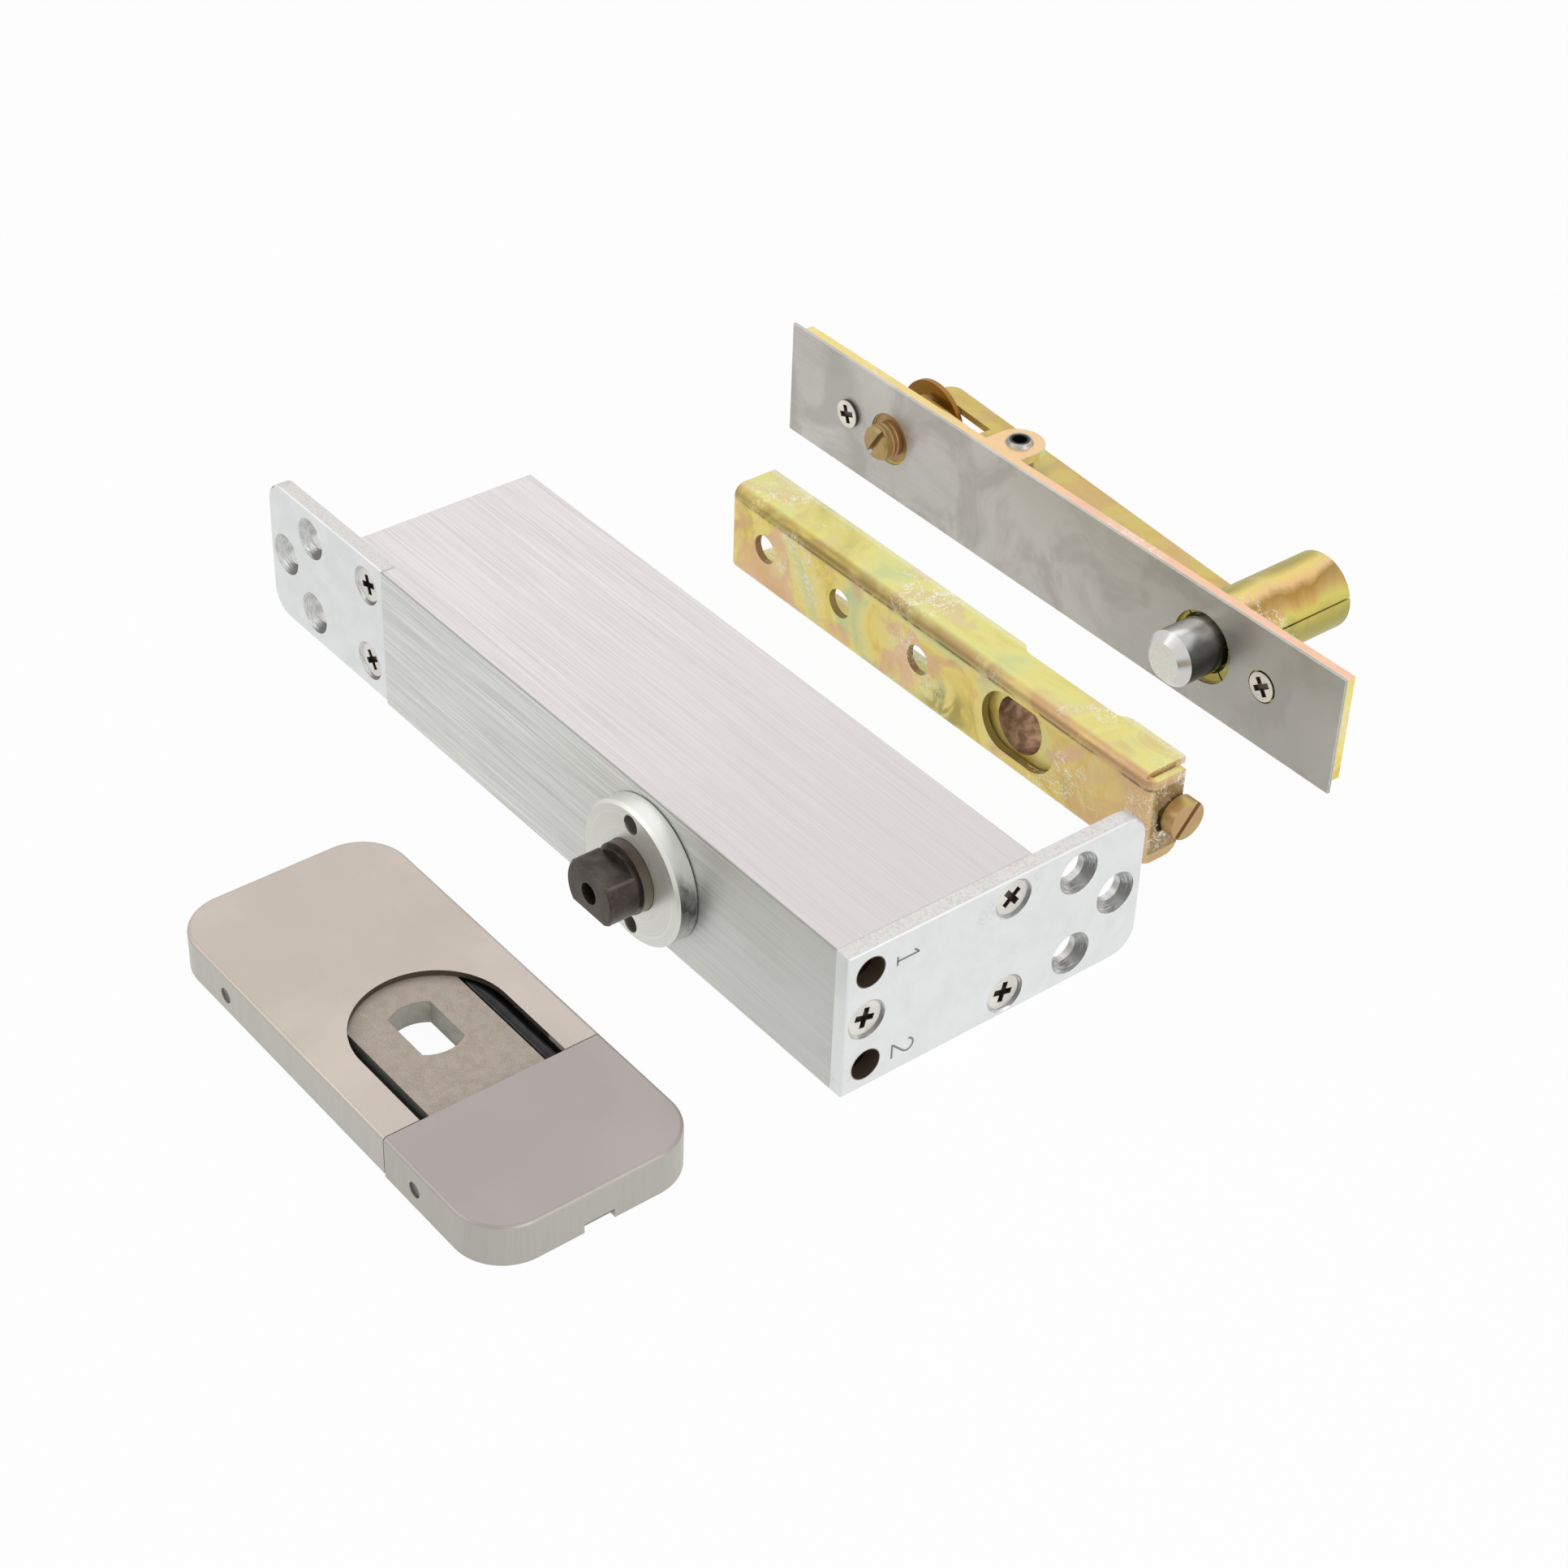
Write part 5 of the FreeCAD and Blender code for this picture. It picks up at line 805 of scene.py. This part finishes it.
def eyelet_steel(name):
    """The hollow rivet: a grey rolled rim round a throat painted dark as shade."""
    material, tree, shader = finish(name, 0.55, 0.36)
    grain = use(tree, GRAIN, Scale=3600.0)
    reach = reach_from(tree, place_of(tree), RIVET_PLACE, "Z")
    rim = blend(tree, span(tree, grain["Dents"], 0.35, 0.65), (0.32, 0.31, 0.28), (0.50, 0.485, 0.44))
    # Painted shade: the rivet's throat is painted nearly black.
    throat = within(tree, reach, RIVET_THROAT, 0.3)
    base = blend(tree, throat, rim, (0.022, 0.020, 0.020))
    painted(tree, shader, base, span(tree, grain["Grain"], 0.3, 0.7, 0.30, 0.44))
    bumped(tree, shader, grain["Grain"], 0.10, 0.03)
    return material


def rubber(name):
    """Matt black rubber."""
    material, tree, shader = finish(name, 0.0, 0.62)
    grain = use(tree, GRAIN, Scale=2400.0)
    base = blend(tree, grain["Dents"], (0.012, 0.012, 0.013), (0.035, 0.035, 0.036))
    feed(tree, shader.inputs["Base Color"], base)
    bumped(tree, shader, grain["Grain"], 0.2, 0.04)
    return material


def stamped_mark(name):
    """Painted shade of a stamped figure's groove, on a thin flat strip."""
    material, tree, shader = finish(name, 0.4, 0.55)
    grain = use(tree, GRAIN, Scale=5000.0)
    base = blend(tree, grain["Grain"], (0.15, 0.16, 0.165), (0.32, 0.33, 0.34))
    feed(tree, shader.inputs["Base Color"], base)
    return material


def dress(material, *pieces):
    """Give CAD pieces a finish."""
    for piece in pieces:
        for slot in NODES[piece].material_slots:
            slot.material = material


NICKEL = (0.80, 0.78, 0.71)
PLUG_TINT = (0.76, 0.75, 0.73)
STEEL_TINT = (0.56, 0.56, 0.57)
# Painted shade: the valve screws' brass is darkened to stand for the shade in their deep bores.
SHADED_BRASS_TINT = (0.26, 0.17, 0.075)
# Painted light and shade: the two face screws get a paler and a darker copy of one nickel.
LIT_NICKEL = (0.88, 0.84, 0.73)
SHADED_NICKEL = (0.76, 0.73, 0.64)
WARM_COVER = ((0.64, 0.56, 0.50), (0.57, 0.495, 0.44), (0.56, 0.545, 0.49))
ROSY_COVER = ((0.455, 0.405, 0.39), (0.405, 0.36, 0.345), (0.50, 0.48, 0.435))
GREY_COVER = ((0.30, 0.30, 0.29), (0.22, 0.22, 0.22), (0.26, 0.26, 0.25))

dress(sawn_aluminium("body_aluminium"), "hinge_body")
dress(cap_aluminium("cap_aluminium"), "bearing_cap")
dress(turned_metal("plug_aluminium", "X", SPINDLE_CENTRE, PLUG_TINT, (0.52, 0.51, 0.50), 0.38), "end_plug")
dress(bright_zinc("edge_plate_zinc", "X", 1, "edge_plate"), "edge_plate")
dress(bright_zinc("strap_zinc", "Y", 0, "strap_plate"), "strap_plate")
EDGE_SCREW = recessed_screw("edge_screw_nickel", "X", "edge_screw_1", -1.0, NICKEL)
dress(EDGE_SCREW, "edge_screw_1", "edge_screw_2", "edge_screw_3")
STRAP_SCREW = recessed_screw("strap_screw_nickel", "Y", "strap_screw_1", 1.0, NICKEL)
dress(STRAP_SCREW, "strap_screw_1", "strap_screw_2")
dress(recessed_screw("lit_face_screw_nickel", "Y", "face_screw_1", 1.0, LIT_NICKEL), "face_screw_1")
dress(recessed_screw("shaded_face_screw_nickel", "Y", "face_screw_2", 1.0, SHADED_NICKEL), "face_screw_2")
dress(spindle_oxide("spindle_oxide"), "spindle")
dress(black_oxide("rod_oxide", (0.010, 0.010, 0.011), 0.22), "guide_rod_1", "guide_rod_2")
HARD_STEEL = turned_metal("hard_steel", "Y", SPINDLE_CENTRE, STEEL_TINT, (0.36, 0.36, 0.37), 0.30)
dress(HARD_STEEL, "cam", "piston", "cam_roller", "roller_pin", "check_ball", "main_spring")
dress(HARD_STEEL, "back_bearing", "front_bearing")
dress(pin_steel("pin_steel"), "pivot_pin")
dress(rubber("seal_rubber"), "shaft_seal", "piston_seal", "plug_seal", "valve_seal_1", "valve_seal_2")
VALVE_CENTRE = (0.0, VALVE_LINE, SPINDLE_HEIGHT)
VALVE = turned_metal("valve_brass", "X", VALVE_CENTRE, SHADED_BRASS_TINT, (0.10, 0.065, 0.03), 0.30, 3000.0)
dress(VALVE, "valve_screw_1", "valve_screw_2")
dress(satin_cover("main_cover_satin", "main_cover", *WARM_COVER), "main_cover")
dress(satin_cover("end_cover_satin", "end_cover", *ROSY_COVER), "end_cover")
COVER_SCREW = black_oxide("cover_screw_steel", (0.10, 0.095, 0.085), 0.40)
dress(COVER_SCREW, "cover_screw_1", "cover_screw_2", "cover_screw_3", "cover_screw_4")
dress(satin_cover("base_steel", "base_plate", *GREY_COVER), "base_plate")
dress(sintered("sintered_iron"), "socket_block")
dress(channel_zinc("channel_zinc"), "channel")
dress(slide_zinc("slide_zinc"), "socket_slide")
dress(yellow_zinc("screw_zinc", 3.1, 0.65, (0.40, 0.235, 0.075), 0.65), "adjusting_screw")
dress(yellow_zinc("drive_zinc", 3.6, 0.65, (0.30, 0.15, 0.05), 0.74), "drive_screw", "drive_nut")
dress(backing_zinc("backing_zinc"), "backing_plate")
dress(tube_zinc("tube_zinc"), "guide_tube")
dress(yellow_zinc("lever_zinc", 6.4, 0.60, (0.50, 0.355, 0.08), 0.62, 0.3), "lever")
dress(yellow_zinc("disc_zinc", 7.8, 0.60, (0.30, 0.11, 0.006), 0.92, 0.2), "drive_disc")
dress(eyelet_steel("eyelet_steel"), "lever_rivet")
dress(brushed_steel("face_stainless", "face_plate"), "face_plate")


# Pieces that scene.py adds
def piece_from(tool, name, material, body):
    """Turn a bmesh into a piece that rides on a body."""
    mesh = bpy.data.meshes.new(name)
    bmesh.ops.recalc_face_normals(tool, faces=tool.faces)
    tool.to_mesh(mesh)
    tool.free()
    piece = bpy.data.objects.new(name, mesh)
    bpy.context.scene.collection.objects.link(piece)
    mesh.materials.append(material)
    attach(piece, body)
    return piece


def skin(tool, rows):
    """Close a run of equal rings of points into a solid with a face at each end."""
    for first, second in zip(rows, rows[1:]):
        for side in range(len(first)):
            other = (side + 1) % len(first)
            tool.faces.new((first[side], first[other], second[other], second[side]))
    tool.faces.new(rows[0])
    tool.faces.new(rows[-1])


MARK_HEIGHT = 4.9
MARK_STROKE = 0.40
MARK_DEEP = 0.03
MARK_LINE = -8.7
MARK_UP_1 = 26.0
MARK_UP_2 = 5.0
BOW_RADIUS = 1.35
BOW_STEPS = 16
BOW_START = 170
BOW_SWEEP = 215


def stroke(tool, points, across, up):
    """A flat stroke of a stamped figure on the end plate, read downwards, as a closed thin solid."""
    rows = []
    for number, point in enumerate(points):
        before = points[max(number - 1, 0)]
        after = points[min(number + 1, len(points) - 1)]
        run = (after - before).normalized()
        side = Vector((-run.y, run.x)) * MARK_STROKE / 2
        row = []
        for edge in (point + side, point - side):
            for face in (EDGE_FACE - MARK_DEEP, EDGE_FACE + MARK_DEEP):
                row.append(tool.verts.new(Vector((face, across + edge.y, up - edge.x)) * MM))
        rows.append([row[0], row[1], row[3], row[2]])
    skin(tool, rows)


def figure_one():
    """The strokes of a 1: stem, flag and foot."""
    half = MARK_HEIGHT / 2
    stem = [Vector((0.0, -half)), Vector((0.0, half))]
    flag = [Vector((-1.05, half - 1.15)), Vector((-0.12, half - 0.12))]
    foot = [Vector((-1.0, -half)), Vector((1.0, -half))]
    return [stem, flag, foot]


def figure_two():
    """The strokes of a 2: a bow that runs down to its foot, and the foot."""
    half = MARK_HEIGHT / 2
    bow = []
    for step in range(BOW_STEPS + 1):
        angle = math.radians(BOW_START - BOW_SWEEP * step / BOW_STEPS)
        rise = half - BOW_RADIUS + BOW_RADIUS * math.sin(angle)
        bow.append(Vector((BOW_RADIUS * math.cos(angle), rise)))
    bow.append(Vector((-1.45, -half + 0.15)))
    return [bow, [Vector((-1.6, -half)), Vector((1.6, -half))]]


def figure(name, strokes, across, up):
    """A stamped figure beside a valve."""
    tool = bmesh.new()
    for points in strokes:
        stroke(tool, points, across, up)
    piece_from(tool, name, STAMP, "housing")


THREAD_STEPS = 32
THREAD_FADE = 8
THREAD_LEAST = 0.05
THREAD_FLANK = 0.40


def thread(name, letter, centre, radii, reach, pitch, body):
    """The ridge of a screw's thread, wound round an axis and fading out at both ends."""
    tool = bmesh.new()
    low, high = radii
    start, end = reach
    steps = int(THREAD_STEPS * (end - start) / pitch)
    rows = []
    for step in range(steps + 1):
        turn = 2 * math.pi * step / THREAD_STEPS
        along = start + pitch * step / THREAD_STEPS
        fade = max(THREAD_LEAST, min(1.0, step / THREAD_FADE, (steps - step) / THREAD_FADE))
        row = []
        crest = low + (high - low) * fade
        for offset, radius in ((-THREAD_FLANK, low), (0.0, crest), (THREAD_FLANK, low)):
            out = radius * math.cos(turn)
            lift = radius * math.sin(turn)
            place = along + offset * pitch
            point = (place, centre[1] + out, centre[2] + lift)
            if letter == "Y":
                point = (centre[0] + out, place, centre[2] + lift)
            row.append(tool.verts.new(Vector(point) * MM))
        rows.append(row)
    skin(tool, rows)
    piece_from(tool, name, THREAD_ZINC, body)


COIL_STEPS = 40
COIL_SIDES = 12
SPRING_TURNS = 7
SPRING_WIRE = 3.2


def closing_spring(name, piece, body):
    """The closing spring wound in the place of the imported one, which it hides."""
    low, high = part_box(piece)
    length = high[0] - low[0]
    wire = SPRING_WIRE * MM / 2
    radius = (high[2] - low[2]) / 2 - wire
    middle = [(a + b) / 2 for a, b in zip(low, high)]
    steps = SPRING_TURNS * COIL_STEPS
    tool = bmesh.new()
    rows = []
    for step in range(steps + 1):
        turn = 2 * math.pi * step / COIL_STEPS
        along = low[0] + wire + (length - 2 * wire) * step / steps
        row = []
        for side in range(COIL_SIDES):
            angle = 2 * math.pi * side / COIL_SIDES
            out = radius + wire * math.cos(angle)
            place = along + wire * math.sin(angle)
            deep = middle[1] + out * math.cos(turn)
            up = middle[2] + out * math.sin(turn)
            row.append(tool.verts.new((place, deep, up)))
        rows.append(row)
    skin(tool, rows)
    spring = piece_from(tool, name, HARD_STEEL, body)
    spring.data.shade_smooth()
    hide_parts(piece)
    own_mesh(spring)


closing_spring("closing_spring", "main_spring", "housing")
STAMP = stamped_mark("stamp_shadow")
figure("valve_mark_1", figure_one(), MARK_LINE, MARK_UP_1)
figure("valve_mark_2", figure_two(), MARK_LINE, MARK_UP_2)
THREAD_ZINC = yellow_zinc("thread_zinc", 9.2, 0.95, (0.34, 0.15, 0.05), 0.75)
DRIVE_AXIS = (DRIVE_PLACE, PIVOT_FRONT, DRIVE_HEIGHT)
DRIVE_RADII = (3.90, 4.22)
DRIVE_REACH = (PIVOT_FRONT - 3.1, PIVOT_FRONT - 0.1)
DRIVE_PITCH = 1.25
thread("drive_thread", "Y", DRIVE_AXIS, DRIVE_RADII, DRIVE_REACH, DRIVE_PITCH, "drive")
ADJUST_AXIS = (0.0, ADJUST_LINE, CHANNEL_MIDDLE)
ADJUST_RADII = (2.42, 2.70)
ADJUST_REACH = (25.2, 37.0)
ADJUST_PITCH = 0.80
thread("adjusting_thread", "X", ADJUST_AXIS, ADJUST_RADII, ADJUST_REACH, ADJUST_PITCH, "adjuster")


# Stage: floor, light and camera
AMBIENT = 0.38
FLOOR_HALF = 4.0
FLOOR_DROP = 0.05
FLOOR_WHITE = 0.96
CAMERA_SENSOR = 36.0
CAMERA_LENS = 74.40
CAMERA_NEAR = 0.01
CAMERA_EYE = (372.54, -300.99, 389.39)
CAMERA_FORWARD = (-0.61206, 0.50873, -0.60545)
CAMERA_ROLL = -2.27
PART_MIDDLE = (0.0, 0.0, 0.02)


def seen_directly(tree):
    """One for rays from the camera, from shiny surfaces and through clear ones, nought for others."""
    path = node(tree, "ShaderNodeLightPath")
    seen = sums(tree, "MAXIMUM", path.outputs["Is Camera Ray"], path.outputs["Is Glossy Ray"])
    return sums(tree, "MAXIMUM", seen, path.outputs["Is Transmission Ray"])


def make_floor():
    """Plain pale floor that shows white to the camera and keeps the hinge's shadow."""
    tool = bmesh.new()
    bmesh.ops.create_grid(tool, x_segments=1, y_segments=1, size=FLOOR_HALF)
    mesh = bpy.data.meshes.new("floor")
    tool.to_mesh(mesh)
    tool.free()
    floor = bpy.data.objects.new("floor", mesh)
    floor.location.z = -FLOOR_DROP * MM
    bpy.context.scene.collection.objects.link(floor)
    material, tree, shader = finish("floor_white", 0.0, 0.9)
    shader.inputs["Base Color"].default_value = (0.95, 0.95, 0.95, 1)
    shader.inputs["Specular IOR Level"].default_value = 0.0
    glow = node(tree, "ShaderNodeEmission")
    glow.inputs["Color"].default_value = (1, 1, 1, 1)
    glow.inputs["Strength"].default_value = 1.0
    share = sums(tree, "MULTIPLY", seen_directly(tree), FLOOR_WHITE)
    mix = node(tree, "ShaderNodeMixShader")
    feed(tree, mix.inputs[0], share)
    feed(tree, mix.inputs[1], shader.outputs[0])
    feed(tree, mix.inputs[2], glow.outputs[0])
    feed(tree, tree.nodes["Material Output"].inputs["Surface"], mix.outputs[0])
    mesh.materials.append(material)


def make_world():
    """Even surround, white where it is seen and dimmer where it only lights."""
    world = bpy.data.worlds.new("studio")
    bpy.context.scene.world = world
    world.use_nodes = True
    tree = world.node_tree
    surround = tree.nodes["Background"]
    surround.inputs["Color"].default_value = (1.0, 1.0, 1.0, 1)
    rest = sums(tree, "MULTIPLY", seen_directly(tree), 1.0 - AMBIENT)
    feed(tree, surround.inputs["Strength"], sums(tree, "ADD", rest, AMBIENT))


def area_light(name, place, target, size, power, colour):
    """A soft rectangular lamp aimed at a point, in metres."""
    lamp = bpy.data.lights.new(name, "AREA")
    lamp.shape = "RECTANGLE"
    lamp.size, lamp.size_y = size
    lamp.energy = power
    lamp.color = colour
    item = bpy.data.objects.new(name, lamp)
    item.location = place
    item.rotation_euler = (Vector(target) - Vector(place)).to_track_quat("-Z", "Y").to_euler()
    bpy.context.scene.collection.objects.link(item)


def make_camera():
    """Camera solved from the photograph's plates and holes."""
    camera_data = bpy.data.cameras.new("camera")
    camera_data.sensor_fit = "HORIZONTAL"
    camera_data.sensor_width = CAMERA_SENSOR
    camera_data.lens = CAMERA_LENS
    camera_data.clip_start = CAMERA_NEAR
    camera = bpy.data.objects.new("camera", camera_data)
    eye = Vector(CAMERA_EYE) * MM
    forward = Vector(CAMERA_FORWARD).normalized()
    level = forward.cross(Vector((0, 0, 1))).normalized()
    upright = level.cross(forward)
    roll = math.radians(CAMERA_ROLL)
    up = upright * math.cos(roll) + level * math.sin(roll)
    right = forward.cross(up)
    turn = Matrix((right, up, -forward)).transposed()
    camera.matrix_world = Matrix.Translation(eye) @ turn.to_4x4()
    bpy.context.scene.collection.objects.link(camera)
    bpy.context.scene.camera = camera


make_floor()
make_world()
area_light(
    "overhead", place=(-0.45, 0.35, 1.00), target=(0.0, 0.0, 0.0),
    size=(1.4, 1.4), power=2.6, colour=(1.0, 0.99, 0.98),
)
area_light(
    "front_fill", place=(-0.60, -1.00, 0.60), target=PART_MIDDLE,
    size=(1.0, 0.8), power=3.2, colour=(1.0, 1.0, 0.99),
)
area_light(
    "right_fill", place=(1.20, 0.10, 0.50), target=PART_MIDDLE,
    size=(0.9, 0.9), power=5.6, colour=(0.98, 0.99, 1.0),
)
make_camera()
bpy.context.scene.view_settings.view_transform = "Standard"
